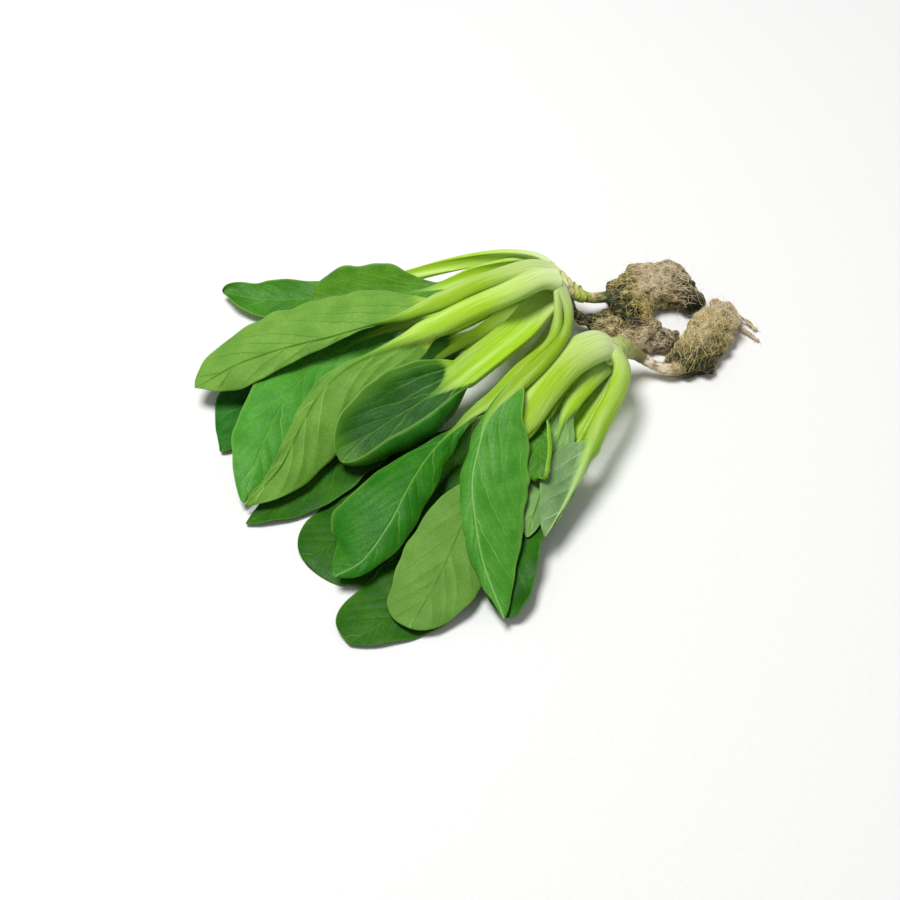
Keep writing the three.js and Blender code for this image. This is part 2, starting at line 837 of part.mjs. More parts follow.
// Boolean helpers
function toManifold(geometry) {
  const clean = new THREE.BufferGeometry();
  clean.setAttribute("position", geometry.getAttribute("position").clone());
  clean.setIndex(geometry.getIndex() ? geometry.getIndex().clone() : null);
  const merged = mergeVertices(clean, SAME_PLACE);
  const mesh = new wasm.Mesh({
    numProp: 3,
    vertProperties: new Float32Array(merged.getAttribute("position").array),
    triVerts: new Uint32Array(merged.getIndex().array),
  });
  return new wasm.Manifold(mesh);
}

function fromManifold(solid) {
  const mesh = solid.getMesh();
  return makeGeometry(Array.from(mesh.vertProperties), Array.from(mesh.triVerts));
}

// A geometry swelled so that each of its faces moves out by about the distance given
function swollen(geometry, distance) {
  const copy = geometry.clone();
  const position = copy.getAttribute("position");
  const index = copy.getIndex();
  const facing = Array.from({ length: position.count }, () => []);
  for (let i = 0; i < index.count; i += 3) {
    const corners = [index.getX(i), index.getX(i + 1), index.getX(i + 2)];
    const [a, b, c] = corners.map((n) => new THREE.Vector3().fromBufferAttribute(position, n));
    const normal = b.sub(a).cross(c.sub(a));
    if (normal.length() > LEAST_AREA) {
      normal.normalize();
      corners.forEach((n) => facing[n].push(normal));
    }
  }
  for (let i = 0; i < position.count; i += 1) {
    const out = facing[i].reduce((sum, normal) => sum.add(normal), new THREE.Vector3()).normalize();
    const least = Math.min(...facing[i].map((normal) => normal.dot(out)));
    const place = new THREE.Vector3().fromBufferAttribute(position, i);
    place.addScaledVector(out, distance / Math.max(least, LEAST_FACING));
    position.setXYZ(i, place.x, place.y, place.z);
  }
  return copy;
}

function largestPiece(solid) {
  const pieces = solid.decompose();
  pieces.sort((a, b) => b.volume() - a.volume());
  return pieces[0];
}

// Lay every leaf
const grids = new Map(LEAVES.map((leaf) => [leaf.name, makeGrid(leaf)]));
for (const name of LAYING_ORDER) {
  lay(grids.get(name));
}

// A tube of changing radius through a few places, with each ring's corners set in or out by seeded noise
function makeTube(stations, sides, rough, random) {
  const curve = new THREE.CatmullRomCurve3(stations.map((p) => new THREE.Vector3(p[0], p[1], p[2])));
  const rowCount = (stations.length - 1) * TUBE_ROWS_BETWEEN;
  const rings = [];
  let side = new THREE.Vector3(0, 0, 1);
  for (let i = 0; i <= rowCount; i += 1) {
    const t = i / rowCount;
    const centre = curve.getPoint(t);
    const along = curve.getTangent(t);
    side = side.clone().addScaledVector(along, -side.dot(along)).normalize();
    const other = new THREE.Vector3().crossVectors(along, side);
    const place = t * (stations.length - 1);
    const from = Math.min(Math.floor(place), stations.length - 2);
    const radius = mix(stations[from][3], stations[from + 1][3], place - from);
    const ring = [];
    for (let k = 0; k < sides; k += 1) {
      const angle = 2 * Math.PI * k / sides;
      const r = radius * (1 + rough * (random() - 0.5));
      const corner = centre.clone().addScaledVector(side, r * Math.cos(angle));
      ring.push(corner.addScaledVector(other, r * Math.sin(angle)));
    }
    rings.push(ring);
  }
  return solidFromRings(rings);
}

// A lumpy lobe of matted root: an ellipsoid whose surface swells and sinks
function makeLobe(lobe, seed) {
  const geometry = new THREE.IcosahedronGeometry(1, LOBE_DETAIL);
  const position = geometry.getAttribute("position");
  for (let i = 0; i < position.count; i += 1) {
    const d = new THREE.Vector3().fromBufferAttribute(position, i).normalize();
    const lumps = Math.sin(d.x * LOBE_WAVES.x + seed) * Math.sin(d.y * LOBE_WAVES.y + 2 * seed);
    const ridges = Math.sin(d.z * LOBE_WAVES.z + d.x * LOBE_SKEW + 3 * seed) * LOBE_SECOND;
    const r = 1 + LOBE_RELIEF * (lumps + ridges);
    const place = new THREE.Vector3(...lobe.size).multiply(d).multiplyScalar(r);
    place.add(new THREE.Vector3(...lobe.at));
    position.setXYZ(i, place.x, place.y, place.z);
  }
  return toManifold(geometry);
}

function seededRandom(seed) {
  let state = seed;
  return () => {
    state = (state * NOISE_STEP) % NOISE_RANGE;
    return state / NOISE_RANGE;
  };
}

// The matted roots of one head: its lobes, the roots that lead to them and loose rootlets, cut flat below
function makeRoots(roots) {
  const random = seededRandom(roots.seed);
  let solid = toManifold(makeTube(roots.neck, TUBE_SIDES, TUBE_ROUGHNESS, random));
  for (const strand of roots.strands) {
    const sides = strand[0][3] < ROOTLET_RADIUS ? ROOTLET_SIDES : TUBE_SIDES;
    solid = solid.add(toManifold(makeTube(strand, sides, TUBE_ROUGHNESS, random)));
  }
  roots.lobes.forEach((lobe, n) => {
    solid = solid.add(makeLobe(lobe, roots.seed + n));
  });
  const above = new THREE.BoxGeometry(2 * MAP_MAX.x, 2 * MAP_MAX.x, MAP_MAX.x);
  above.translate(MAP_MAX.x / 2, 0, MAP_MAX.x / 2);
  return solid.intersect(toManifold(above));
}

// Everything that stands beside other things is cut back to leave a small gap
const pieces = [];
function addPiece(name, geometry, colour, roughness, leaf, blade) {
  const solid = toManifold(geometry);
  const near = toManifold(swollen(geometry, TRIM_GAP / 3)).add(solid);
  const grown = toManifold(swollen(geometry, TRIM_GAP)).add(near);
  pieces.push({ name, solid, grown, colour, roughness, leaf, blade });
}

for (const head of HEADS) {
  const random = seededRandom(head.seed);
  addPiece(`root_${head.name}`, fromManifold(makeRoots(head)), COLOURS.root, ROUGHNESS.root);
  const crown = makeTube(head.crown, CROWN_SIDES, CROWN_ROUGHNESS, random);
  addPiece(`crown_${head.name}`, crown, COLOURS.crown, ROUGHNESS.crown);
}
for (const name of LAYING_ORDER) {
  const grid = grids.get(name);
  addPiece(`leaf_${name}_blade`, makeBlade(grid), grid.leaf.colour, ROUGHNESS.blade, grid.leaf, true);
}
for (const name of LAYING_ORDER) {
  const grid = grids.get(name);
  addPiece(`leaf_${name}_stalk`, makeStalk(grid), COLOURS.stalk, ROUGHNESS.stalk, grid.leaf, false);
}

const group = new THREE.Group();
pieces.forEach((piece, n) => {
  let solid = piece.solid;
  for (const other of pieces.slice(n + 1)) {
    const sameLeaf = piece.leaf && piece.leaf === other.leaf;
    const shared = solid.intersect(sameLeaf ? other.solid : other.grown);
    if (!shared.isEmpty() && shared.volume() > TRIM_LEAST) {
      solid = largestPiece(solid.subtract(other.grown));
    }
  }
  solid = largestPiece(solid.simplify(piece.blade ? BLADE_SIMPLIFY : SIMPLIFY));
  const { colour: color, roughness } = piece;
  const material = new THREE.MeshStandardMaterial({ color, roughness, metalness: 0 });
  const mesh = new THREE.Mesh(fromManifold(solid), material);
  mesh.name = piece.name;
  group.add(mesh);
});

// Centre the bunch over the origin with its lowest point at height 0
const box = new THREE.Box3().setFromObject(group);
const centre = box.getCenter(new THREE.Vector3());
for (const mesh of group.children) {
  mesh.geometry.translate(-centre.x, -centre.y, -box.min.z);
}

export default group;
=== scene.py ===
import math
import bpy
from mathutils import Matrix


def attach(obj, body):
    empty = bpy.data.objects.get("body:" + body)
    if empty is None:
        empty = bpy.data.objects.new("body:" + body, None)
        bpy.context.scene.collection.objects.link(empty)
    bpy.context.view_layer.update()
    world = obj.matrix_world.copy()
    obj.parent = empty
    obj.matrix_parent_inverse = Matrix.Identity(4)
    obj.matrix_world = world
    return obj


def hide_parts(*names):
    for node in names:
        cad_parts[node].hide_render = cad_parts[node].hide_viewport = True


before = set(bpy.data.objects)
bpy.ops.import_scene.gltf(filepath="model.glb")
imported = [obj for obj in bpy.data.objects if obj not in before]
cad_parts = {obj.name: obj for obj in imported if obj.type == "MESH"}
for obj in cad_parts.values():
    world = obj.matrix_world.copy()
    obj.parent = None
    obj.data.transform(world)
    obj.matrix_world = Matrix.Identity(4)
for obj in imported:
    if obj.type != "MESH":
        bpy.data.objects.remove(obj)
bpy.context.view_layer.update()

from types import SimpleNamespace

import bmesh
import bpy
import numpy as np
from mathutils import Matrix, Vector, noise
from mathutils.bvhtree import BVHTree

MM = 0.001

# Shape of the leaves
# The same dimensions as the CAD source, in millimetres
TIP_HALF_WIDTH = 1.0
EDGE_BESIDE_RIB = 0.8
RIB_GAP = 0.45
RIB_END_HALF_WIDTH = 1.2
RIB_END_DEPTH = 1.2
RIB_SHARE = 0.8
RIB_NARROWING = 0.45
RIB_THINNING = 0.45
RIB_IN_BLADE = 0.6
RIB_PINCH_FROM = 0.5
TURN_RUN = 0.12
CURL_RUN = 0.25
WAVE_RUN = 0.2
WAVE_SHIFT = 2
ARC_STEPS = 12
WAVES = 3
STALK_CURL = 0.55
HALF_SHEET = 0.5
STALK_ROWS = 7
CROWN_ROWS = 3
CELL = 2
CLEARANCE = 0.5
LIFT_SPREAD = 0.97
LIFT_ALONG = 0.32
LIFT_ACROSS = 0.18
LIFT_ROUNDS = 80
NEAR_WEIGHT = 0.15
STEPS_PER_CELL = 1.5
MAP_MIN = (-200, -190)
MAP_MAX = (220, 210)
# The CAD source centres the bunch; this is the middle of its box before that
CENTRE = np.array([21.25, 12.0, 0.0])

# Route of the middle line, share that is bare stalk, half widths and depth of the stalk, and for
# each side of the blade: half width, how slim it ends, where it is widest, how slim it begins,
# curl at its edge and how far the curl keeps to the edge
LEAVES = {
    "a1": dict(
        route=[(96, 65, 33), (89, 74, 36), (71, 86, 36), (43, 101, 30), (16, 114, 22), (-16, 125, 15),
               (-43, 137, 10), (-71, 153, 8), (-90, 173, 7)],
        bare=0.42, stalk=(4.5, 3.2), depth=4, half=(20, 14), round=(0.8, 0.4), widest=(1.15, 1.9),
        base=(1.3, 1.3), turn=(-100, -10), curl=(0.45, 0.5), wave=2.2, rows=9),
    "a2": dict(
        route=[(99, 67, 28), (85, 76, 31), (54, 82, 34), (29, 86, 31), (3, 96, 27), (-22, 113, 22),
               (-45, 130, 16)],
        bare=0.42, stalk=(5, 3.6), depth=4.5, half=(24, 32), round=(0.6, 0.25), widest=(1.3, 1.5),
        base=(1.3, 1.3), turn=(-90, -12), curl=(0.2, -0.5), wave=0.8, rows=9),
    "a3": dict(
        route=[(94, 57, 36), (80, 62, 41), (58, 64, 42), (35, 63, 44), (15, 61, 45), (-10, 62, 45),
               (-35, 66, 44), (-60, 72, 41), (-88, 81, 37), (-116, 89, 30), (-145, 96, 16)],
        bare=0.34, stalk=(6, 5.2), depth=5.5, half=(36, 16), round=(0.45, 1), widest=(0.85, 2.9),
        base=(0.7, 0.9), turn=(180, 170), curl=(0.45, 0.6), wave=1, rows=11),
    "a4": dict(
        route=[(99, 63, 24), (75, 66, 20), (30, 66, 14), (-12, 71, 10), (-52, 78, 7), (-89, 82, 5),
               (-119, 75, 4), (-150, 51, 3)],
        bare=0.4, stalk=(5, 4), depth=4, half=(26, 33), round=(0.6, 0.9), widest=(1.3, 0.9),
        base=(1.3, 1.3), turn=(-40, 0), curl=(-0.2, -0.2), wave=2, rows=8, sides=2),
    "a5": dict(
        route=[(97, 63, 28), (61, 68, 27), (23, 70, 27), (-15, 73, 27), (-45, 72, 27), (-75, 67, 25),
               (-98, 56, 24), (-120, 40, 20), (-140, 21, 15), (-157, 4, 8)],
        bare=0.36, stalk=(5, 4.2), depth=4.5, half=(23, 24), round=(0.75, 0.75), widest=(0.95, 1.3),
        base=(0.9, 0.9), turn=(-60, -8), curl=(-0.25, -0.35), wave=1, rows=10),
    "a6": dict(
        route=[(91, 49, 37), (78, 50, 42), (55, 46, 45), (25, 46, 44), (-5, 45, 42), (-31, 47, 40),
               (-62, 46, 38), (-87, 38, 33), (-109, 23, 27), (-130, 8, 19), (-157, 1, 7)],
        bare=0.36, stalk=(7.5, 6.6), depth=6.5, half=(6.5, 33), round=(0.8, 0.8), widest=(1.15, 0.9),
        base=(0.7, 0.65), turn=(180, 172), curl=(0.35, 0.6), wave=1.4, rows=11),
    "a7": dict(
        route=[(93, 50, 26), (80, 45, 27), (55, 30, 30), (38, 23, 32), (12, 15, 32), (-12, 9, 30),
               (-34, 7, 27), (-56, 5, 24), (-75, 2, 21), (-93, -3, 16)],
        bare=0.5, stalk=(10.5, 10), depth=6.5, half=(48, 28), round=(0.45, 0.5), widest=(1, 0.95),
        base=(1, 0.4), turn=(4, -10), curl=(3.2, 0.5), fold=(2.3, 1), wave=0.8, rows=12, sides=5),
    "a8": dict(
        route=[(98, 59, 20), (65, 55, 20), (35, 49, 17), (3, 45, 14), (-34, 31, 10), (-79, 12, 7),
               (-122, -3, 4), (-161, -8, 2)],
        bare=0.24, stalk=(6, 5), depth=5, half=(25, 25), round=(0.75, 0.75), widest=(1.2, 1),
        base=(0.8, 0.7), turn=(5, 0), curl=(0.15, 0.25), wave=1.2, rows=9, sides=2),
    "a9": dict(
        route=[(93, 50, 29), (75, 23, 37), (60, 6, 39), (30, -9, 42), (4, -22, 42), (-20, -26, 37),
               (-47, -36, 34), (-71, -51, 32), (-95, -68, 26), (-118, -78, 18), (-136, -77, 13)],
        bare=0.44, stalk=(6, 4.4), depth=5, half=(15, 35), round=(0.7, 0.6), widest=(1.2, 2.6),
        base=(1.1, 1.3), turn=(100, -5), curl=(-0.9, -0.35), wave=0.8, rows=11),
    "a10": dict(
        route=[(94, 48, 29), (79, 18, 40), (62, -3, 45), (38, -19, 48), (14, -30, 50), (-9, -38, 44),
               (-25, -53, 39), (-40, -71, 34), (-52, -97, 27), (-59, -119, 19), (-64, -150, 10)],
        bare=0.42, stalk=(6, 4.6), depth=5, half=(34, 9), round=(0.75, 0.75), widest=(0.85, 1.1),
        base=(0.7, 0.7), turn=(110, -8), curl=(-0.15, -1.2), wave=0.8, rows=11),
    "a11": dict(
        route=[(100, 55, 18), (85, 36, 15), (53, 18, 11), (4, -3, 8), (-44, -24, 6), (-91, -46, 4),
               (-143, -49, 1)],
        bare=0.38, stalk=(5, 4), depth=4, half=(46, 36), round=(0.45, 0.45), widest=(1.7, 1.7),
        base=(1.3, 1.3), turn=(40, 0), curl=(-0.1, -0.1), wave=1.2, rows=9),
    "b1": dict(
        route=[(92, -14, 30), (82, -13, 37), (58, -19, 39), (27, -35, 38), (-2, -53, 33), (-30, -69, 27),
               (-58, -88, 21), (-86, -110, 15), (-114, -127, 7)],
        bare=0.38, stalk=(12.5, 11.5), depth=6.5, half=(26, 28), round=(0.3, 0.5), widest=(2.2, 1.5),
        base=(1.3, 1.3), turn=(180, 172), curl=(0.35, 0.4), wave=1.2, rows=10),
    "b2": dict(
        route=[(95, -16, 27), (87, -36, 33), (71, -52, 33), (53, -65, 31), (35, -80, 28), (14, -97, 25),
               (-1, -107, 22), (-16, -116, 19)],
        bare=0.55, stalk=(6, 4.8), depth=5.5, half=(21, 2.5), round=(0.8, 0.75), widest=(0.8, 1.2),
        base=(0.45, 1.3), turn=(130, 145), curl=(0.3, 0.6), wave=0.8, rows=9),
    "b3": dict(
        route=[(94, -19, 22), (76, -34, 20), (53, -49, 21), (30, -64, 20), (7, -79, 17), (-17, -97, 15),
               (-38, -120, 11), (-61, -147, 6)],
        bare=0.5, stalk=(7.5, 6.5), depth=4.5, half=(14, 20), round=(0.3, 0.55), widest=(1.7, 1.3),
        base=(0.8, 1), turn=(50, 8), curl=(0.3, 0.3), wave=1.5, rows=8, sides=2),
    "b4": dict(
        route=[(93, -18, 24), (76, -26, 26), (61, -34, 28), (48, -42, 30), (36, -51, 30), (25, -62, 29),
               (13, -72, 28), (3, -83, 26), (-8, -94, 24), (-18, -103, 20), (-24, -109, 15)],
        bare=0.34, stalk=(5, 4.5), depth=3.5, half=(11, 13), round=(0.6, 0.6), widest=(1, 1),
        base=(0.6, 0.6), turn=(150, 170), curl=(0.4, 0.4), wave=0.6, rows=8, sides=2),
    "b5": dict(
        route=[(96, -12, 16), (66, -25, 11), (29, -44, 8), (-9, -64, 6), (-52, -87, 6), (-98, -108, 4),
               (-148, -117, 3)],
        bare=0.36, stalk=(6, 5), depth=5, half=(26, 30), round=(0.7, 0.25), widest=(1.3, 1.8),
        base=(1.3, 1.3), turn=(10, 0), curl=(-0.1, -0.05), wave=1, rows=9),
    "b6": dict(
        route=[(92, -14, 23), (75, -19, 24), (55, -27, 26), (37, -37, 28), (24, -47, 29), (15, -58, 30),
               (8, -70, 30), (2, -79, 29), (-3, -87, 27)],
        bare=0.56, stalk=(4, 3.5), depth=3, half=(14, 8), round=(0.15, 0.25), widest=(1.3, 1.3),
        base=(0.7, 0.7), turn=(10, 0), curl=(2.9, 0.3), fold=(1.5, 1), wave=0.5, rows=6),
    "b7": dict(
        route=[(94, -12, 18), (56, -28, 16), (17, -45, 14), (-16, -58, 11), (-52, -72, 10),
               (-85, -86, 8)],
        bare=0.36, stalk=(5.5, 4.5), depth=4, half=(24, 24), round=(0.75, 0.75), widest=(1.2, 1.2),
        base=(0.8, 0.8), turn=(10, 0), curl=(0.2, 0.2), wave=1.2, rows=7, sides=2),
}
USUAL_LEAF = dict(fold=(1, 1), sides=3)
LEAVES = {name: USUAL_LEAF | leaf for name, leaf in LEAVES.items()}
LAYING_ORDER = ["a11", "a8", "b5", "b7", "a4", "a1", "a2", "b3", "a5",
                "a3", "a6", "a7", "b4", "b2", "b6", "b1", "a9", "a10"]


def mix(a, b, t):
    return a + (b - a) * t


def ease(x, low, high):
    t = np.clip((x - low) / (high - low), 0, 1)
    return t * t * (3 - 2 * t)


def unit(v):
    return v / np.maximum(np.linalg.norm(v, axis=-1, keepdims=True), 1e-12)


def by_hand(v, pair):
    """The pair's second value where v is over 0, and its first elsewhere."""
    first, second = (np.asarray(value)[..., None] for value in pair)
    return np.where(v > 0, second, first)


class Route:
    """Catmull-Rom curve through a leaf's places, read by share of its length."""

    def __init__(self, places):
        p = np.array(places, float)
        self.spans = len(p) - 1
        self.points = np.vstack([2 * p[0] - p[1], p, 2 * p[-1] - p[-2]])
        self.t = np.linspace(0, 1, 201)
        steps = np.linalg.norm(np.diff(self.at(self.t), axis=0), axis=1)
        self.lengths = np.concatenate([[0], np.cumsum(steps)])

    def at(self, t):
        x = np.clip(t, 0, 1) * self.spans
        i = np.minimum(x.astype(int), self.spans - 1)
        w = (x - i)[:, None]
        p0, p1, p2, p3 = (self.points[i + k] for k in range(4))
        m1 = (p2 - p0) / 2
        m2 = (p3 - p1) / 2
        return ((2 * w**3 - 3 * w**2 + 1) * p1 + (w**3 - 2 * w**2 + w) * m1
                + (3 * w**2 - 2 * w**3) * p2 + (w**3 - w**2) * m2)

    def read(self, share):
        t = np.interp(share * self.lengths[-1], self.lengths, self.t)
        along = self.at(np.minimum(t + 1e-4, 1)) - self.at(np.maximum(t - 1e-4, 0))
        return self.at(t), unit(along)


def blade_share(leaf, share):
    return np.clip((share - leaf["bare"]) / (1 - leaf["bare"]), 0, 1)


def blade_half(leaf, along, hand):
    swell = np.maximum(np.sin(np.pi * along ** leaf["widest"][hand]), 0)
    slimness = mix(leaf["base"][hand], leaf["round"][hand], np.minimum(along * 2, 1))
    return leaf["half"][hand] * swell ** slimness


def stalk_half(leaf, share):
    in_stalk = mix(*leaf["stalk"], share / leaf["bare"])
    along = (blade_share(leaf, share) / RIB_SHARE) ** RIB_NARROWING
    in_blade = mix(leaf["stalk"][1], RIB_END_HALF_WIDTH, np.minimum(along, 1))
    return np.where(share < leaf["bare"], in_stalk, in_blade)


def stalk_depth(leaf, share):
    along = (blade_share(leaf, share) / RIB_SHARE) ** RIB_THINNING
    return np.where(share < leaf["bare"], leaf["depth"],
                    mix(leaf["depth"], RIB_END_DEPTH, np.minimum(along, 1)))


def surface(leaf, share, v, half):
    """Points of the middle surface at shares of the length (n) and distances across (n, m)."""
    place, along = Route(leaf["route"]).read(share)
    side = unit(np.cross(along, (0, 0, 1)))
    up = np.cross(side, along)
    turn = np.radians(mix(*leaf["turn"], ease(share, 0, leaf["bare"] + TURN_RUN)))[:, None]
    inner = up * np.cos(turn) + side * np.sin(turn)
    across = side * np.cos(turn) - up * np.sin(turn)
    bs = blade_share(leaf, share)[:, None]
    curl = mix(STALK_CURL, by_hand(v, leaf["curl"]), ease(bs, 0, CURL_RUN))
    fold = mix(1, by_hand(v, leaf["fold"]), ease(bs, 0, CURL_RUN))
    phase = leaf["half"][0] + by_hand(v, (WAVE_SHIFT, 0))
    wave = leaf["wave"] * np.sin(bs * WAVES * 2 * np.pi + phase) * ease(bs, 0, WAVE_RUN)
    level = 0
    rise = wave * (v / half) ** 2
    for k in range(ARC_STEPS):
        angle = curl * (np.abs(v) / half * (k + 0.5) / ARC_STEPS) ** fold
        level = level + np.cos(angle) * v / ARC_STEPS
        rise = rise + np.sin(angle) * np.abs(v) / ARC_STEPS
    return (place[:, None] + across[:, None] * level[..., None]
            + inner[:, None] * rise[..., None])


# Laying the leaves
class Laid:
    """A leaf on the coarse grid of the CAD source, with the lift that lays it on the others."""

    def __init__(self, leaf):
        self.leaf = leaf
        self.middle = leaf["sides"] + 1
        self.shares = np.concatenate([
            leaf["bare"] * np.arange(STALK_ROWS) / STALK_ROWS,
            mix(leaf["bare"], 1, np.arange(leaf["rows"] + 1) / leaf["rows"])])
        rib, edges = self.columns_at(self.shares)
        left, right = ([mix(rib, edge, k / leaf["sides"]) for k in range(1, self.middle)] for edge in edges)
        v = np.stack([-column for column in left[::-1]] + [-rib, rib * 0, rib] + right, 1)
        bs = blade_share(leaf, self.shares)
        halves = [np.maximum.reduce([blade_half(leaf, bs, hand), stalk_half(leaf, self.shares),
                                     np.full(len(bs), TIP_HALF_WIDTH)]) for hand in (0, 1)]
        self.points = surface(leaf, self.shares, v, by_hand(v, halves))
        self.lift = np.zeros(v.shape)
        share = ease(self.shares, 0, leaf["bare"] + TURN_RUN)
        self.facing = np.cos(np.radians(mix(*leaf["turn"], share)))

    def columns_at(self, share):
        leaf = self.leaf
        bs = blade_share(leaf, share)
        edges = [np.maximum(blade_half(leaf, bs, hand), TIP_HALF_WIDTH) for hand in (0, 1)]
        room = np.where(bs > RIB_PINCH_FROM, np.minimum(*edges) * RIB_IN_BLADE, np.inf)
        rib = np.minimum(stalk_half(leaf, share), room)
        return rib, [np.maximum(edge, rib + EDGE_BESIDE_RIB) for edge in edges]

    def reach_below_and_above(self, corner, depth):
        row, column = corner
        rib = depth[row] + RIB_GAP if abs(column - self.middle) <= 1 else 0
        if row < STALK_ROWS:
            inner, outer = 0, depth[row] + HALF_SHEET
        else:
            inner, outer = HALF_SHEET, HALF_SHEET + rib
        return (outer, inner) if self.facing[row] > 0 else (inner, outer)

    def sweep(self, first, last):
        """Yields points spread over the leaf, with how low and high it reaches there."""
        depth = stalk_depth(self.leaf, self.shares)
        for i in range(first, last):
            reach = 1 if i < STALK_ROWS else self.middle
            for k in range(self.middle - reach, self.middle + reach):
                corners = [(i, k), (i + 1, k), (i + 1, k + 1), (i, k + 1)]
                p = np.array([self.points[c] for c in corners])
                lifts = np.array([self.lift[c] for c in corners])
                below, above = np.array([self.reach_below_and_above(c, depth) for c in corners]).T
                steps = [math.ceil(np.linalg.norm(p[n] - p[n + 1]) / CELL * STEPS_PER_CELL) + 1
                         for n in (0, 1)]
                s, t = np.meshgrid(*(np.linspace(0, 1, n + 1) for n in steps), indexing="ij")
                s, t = s.ravel(), t.ravel()
                w = np.stack([(1 - s) * (1 - t), s * (1 - t), s * t, (1 - s) * t])
                xyz = w.T @ p
                z = xyz[:, 2] + lifts @ w
                yield xyz, z - below @ w, z + above @ w, w, corners


def cells(xyz):
    return tuple(((xyz[:, n] - MAP_MIN[n]) // CELL).astype(int) for n in (0, 1))


def lay(grid, heights):
    """Lifts a leaf clear of what lies under it, evened out over its grid, and adds it to the heights."""
    need = np.zeros(grid.lift.shape)
    last = len(grid.shares) - 1
    for xyz, low, high, w, corners in grid.sweep(STALK_ROWS, last):
        wanted = heights[cells(xyz)] + CLEARANCE - low
        for n, corner in enumerate(corners):
            near = wanted[w[n] > NEAR_WEIGHT]
            if len(near):
                need[corner] = max(need[corner], near.max())
    lift = grid.lift.tolist()
    need = need.tolist()
    width = len(lift[0])
    for _ in range(LIFT_ROUNDS):
        for r in range(STALK_ROWS, last + 1):
            row = lift[r]
            before = lift[max(r - 1, STALK_ROWS)]
            after = lift[min(r + 1, last)]
            for c in range(width):
                beside = row[max(c - 1, 0)] + row[min(c + 1, width - 1)]
                spread = LIFT_SPREAD * (LIFT_ALONG * (before[c] + after[c]) + LIFT_ACROSS * beside)
                row[c] = max(need[r][c], spread)
        lift[STALK_ROWS] = [max(lift[STALK_ROWS])] * width
    for r in range(STALK_ROWS):
        lift[r] = [lift[STALK_ROWS][0] * float(ease(r / STALK_ROWS, 0, 1))] * width
    grid.lift = np.array(lift)
    for xyz, low, high, w, corners in grid.sweep(CROWN_ROWS, last):
        np.maximum.at(heights, cells(xyz), high)


def cubic_weights(x, size):
    """The four neighbours of each place on a row of values, and their weights."""
    i = np.clip(np.floor(x).astype(int), 0, size - 2)
    t = x - i
    index = [np.clip(i + k, 0, size - 1) for k in (-1, 0, 1, 2)]
    weight = [(-t + 2 * t**2 - t**3) / 2, (2 - 5 * t**2 + 3 * t**3) / 2,
              (t + 4 * t**2 - 3 * t**3) / 2, (t**3 - t**2) / 2]
    return zip(index, weight)


def lift_at(grid, share, v):
    """The lift of a laid leaf, read smoothly between the points of its coarse grid."""
    leaf = grid.leaf
    row = np.where(share < leaf["bare"], share / leaf["bare"] * STALK_ROWS,
                   STALK_ROWS + blade_share(leaf, share) * leaf["rows"])
    rows = sum(grid.lift[i] * w[:, None] for i, w in cubic_weights(row, len(grid.lift)))
    rib, edges = grid.columns_at(share)
    rib = rib[:, None]
    far = 1 + (np.abs(v) - rib) / (by_hand(v, edges) - rib) * leaf["sides"]
    out = np.where(np.abs(v) <= rib, np.abs(v) / rib, np.minimum(far, leaf["sides"] + 1))
    column = grid.middle + np.sign(v) * out
    n = np.arange(len(share))[:, None]
    return sum(rows[n, i] * w for i, w in cubic_weights(column, grid.lift.shape[1]))


# Fine leaves
STALK_LINES = 44
BLADE_LINES = 104
COLUMNS = 57
TIP_CROWDING = 1.6
MIDDLE_CROWDING = 0.45
EDGE_THIN = 0.14
SHEET = 0.32
GROUND = 0.02
WING_RUN = 0.16
STALK_EDGE = 0.9
STALK_FOOT = 0.95
CRESCENT_FULLNESS = 2.4
RIB_REACH = 0.4
RIB_REACHES = {"b2": 0.95}
RIB_TIP = 0.5
RIB_TIP_DEPTH = 0.25
RIB_HUMP = (0.65, 0.9)
RIB_HUMP_WIDTH = 1.25
RIB_GROOVE = 0.3
FLESH_RUN = 0.14
FLESH_RUNS = {"a10": 0.05, "b6": 0.05, "b2": 0.04, "b4": 0.08, "a6": 0.09}

# Side veins: distance between two, how far each leans towards the tip, how it bends and wanders,
# its half width, and how far it stands out of the under face and sinks into the upper one
VEIN_SPACING = 17
VEIN_LEAN = 1.5
VEIN_LEANS = {"a7": 3.2, "a6": 2.8, "a3": 2.3, "a2": 2.3, "b4": 2.6, "a10": 3.0, "a5": 2.0}
VEIN_BEND = 0.012
VEIN_WANDER = 1.6
VEIN_WANDER_LENGTH = 40
VEIN_HALF_WIDTH = 0.9
VEIN_OUT = 0.3
VEIN_IN = 0.16

# Relief: height and length of the blade's bulges, crumples and ruffles, and of its edge's two waves
# as shares of the width
CUSHION = 0.22
CRUMPLE = 0.55
CRUMPLES = {"a6": 2.2, "a9": 1.4, "a3": 1.5, "b1": 1.5, "a10": 1.3}
CRUMPLE_LENGTH = 26
RUFFLE = 0.55
RUFFLE_LENGTH = 4.1
RUFFLE_DRIFT = 60
EDGE_SWELL = 0.022
EDGE_SWELL_LENGTH = 7.3
EDGE_NICK = 0.015
EDGE_NICK_LENGTH = 3.1
TIP_EDGE = 0.35
SWELL_WAVES = 5


def slow_start(t):
    """Rises from 0 to 1 and starts and ends level, so that the stalk runs into the rib unbroken."""
    t = np.clip(t, 0, 1)
    return 1 - (1 - t) ** 3 * (1 + 3 * t)


def swell_of(x, y, seed):
    """Smooth seeded undulation of about one unit, with waves about one unit long."""
    draw = np.random.default_rng(seed)
    total = 0
    for _ in range(SWELL_WAVES):
        angle, phase = draw.uniform(0, 2 * np.pi, 2)
        k = draw.uniform(0.5, 1.6) * 2 * np.pi
        total = total + np.sin(k * (x * np.cos(angle) + y * np.sin(angle)) + phase)
    return total / SWELL_WAVES


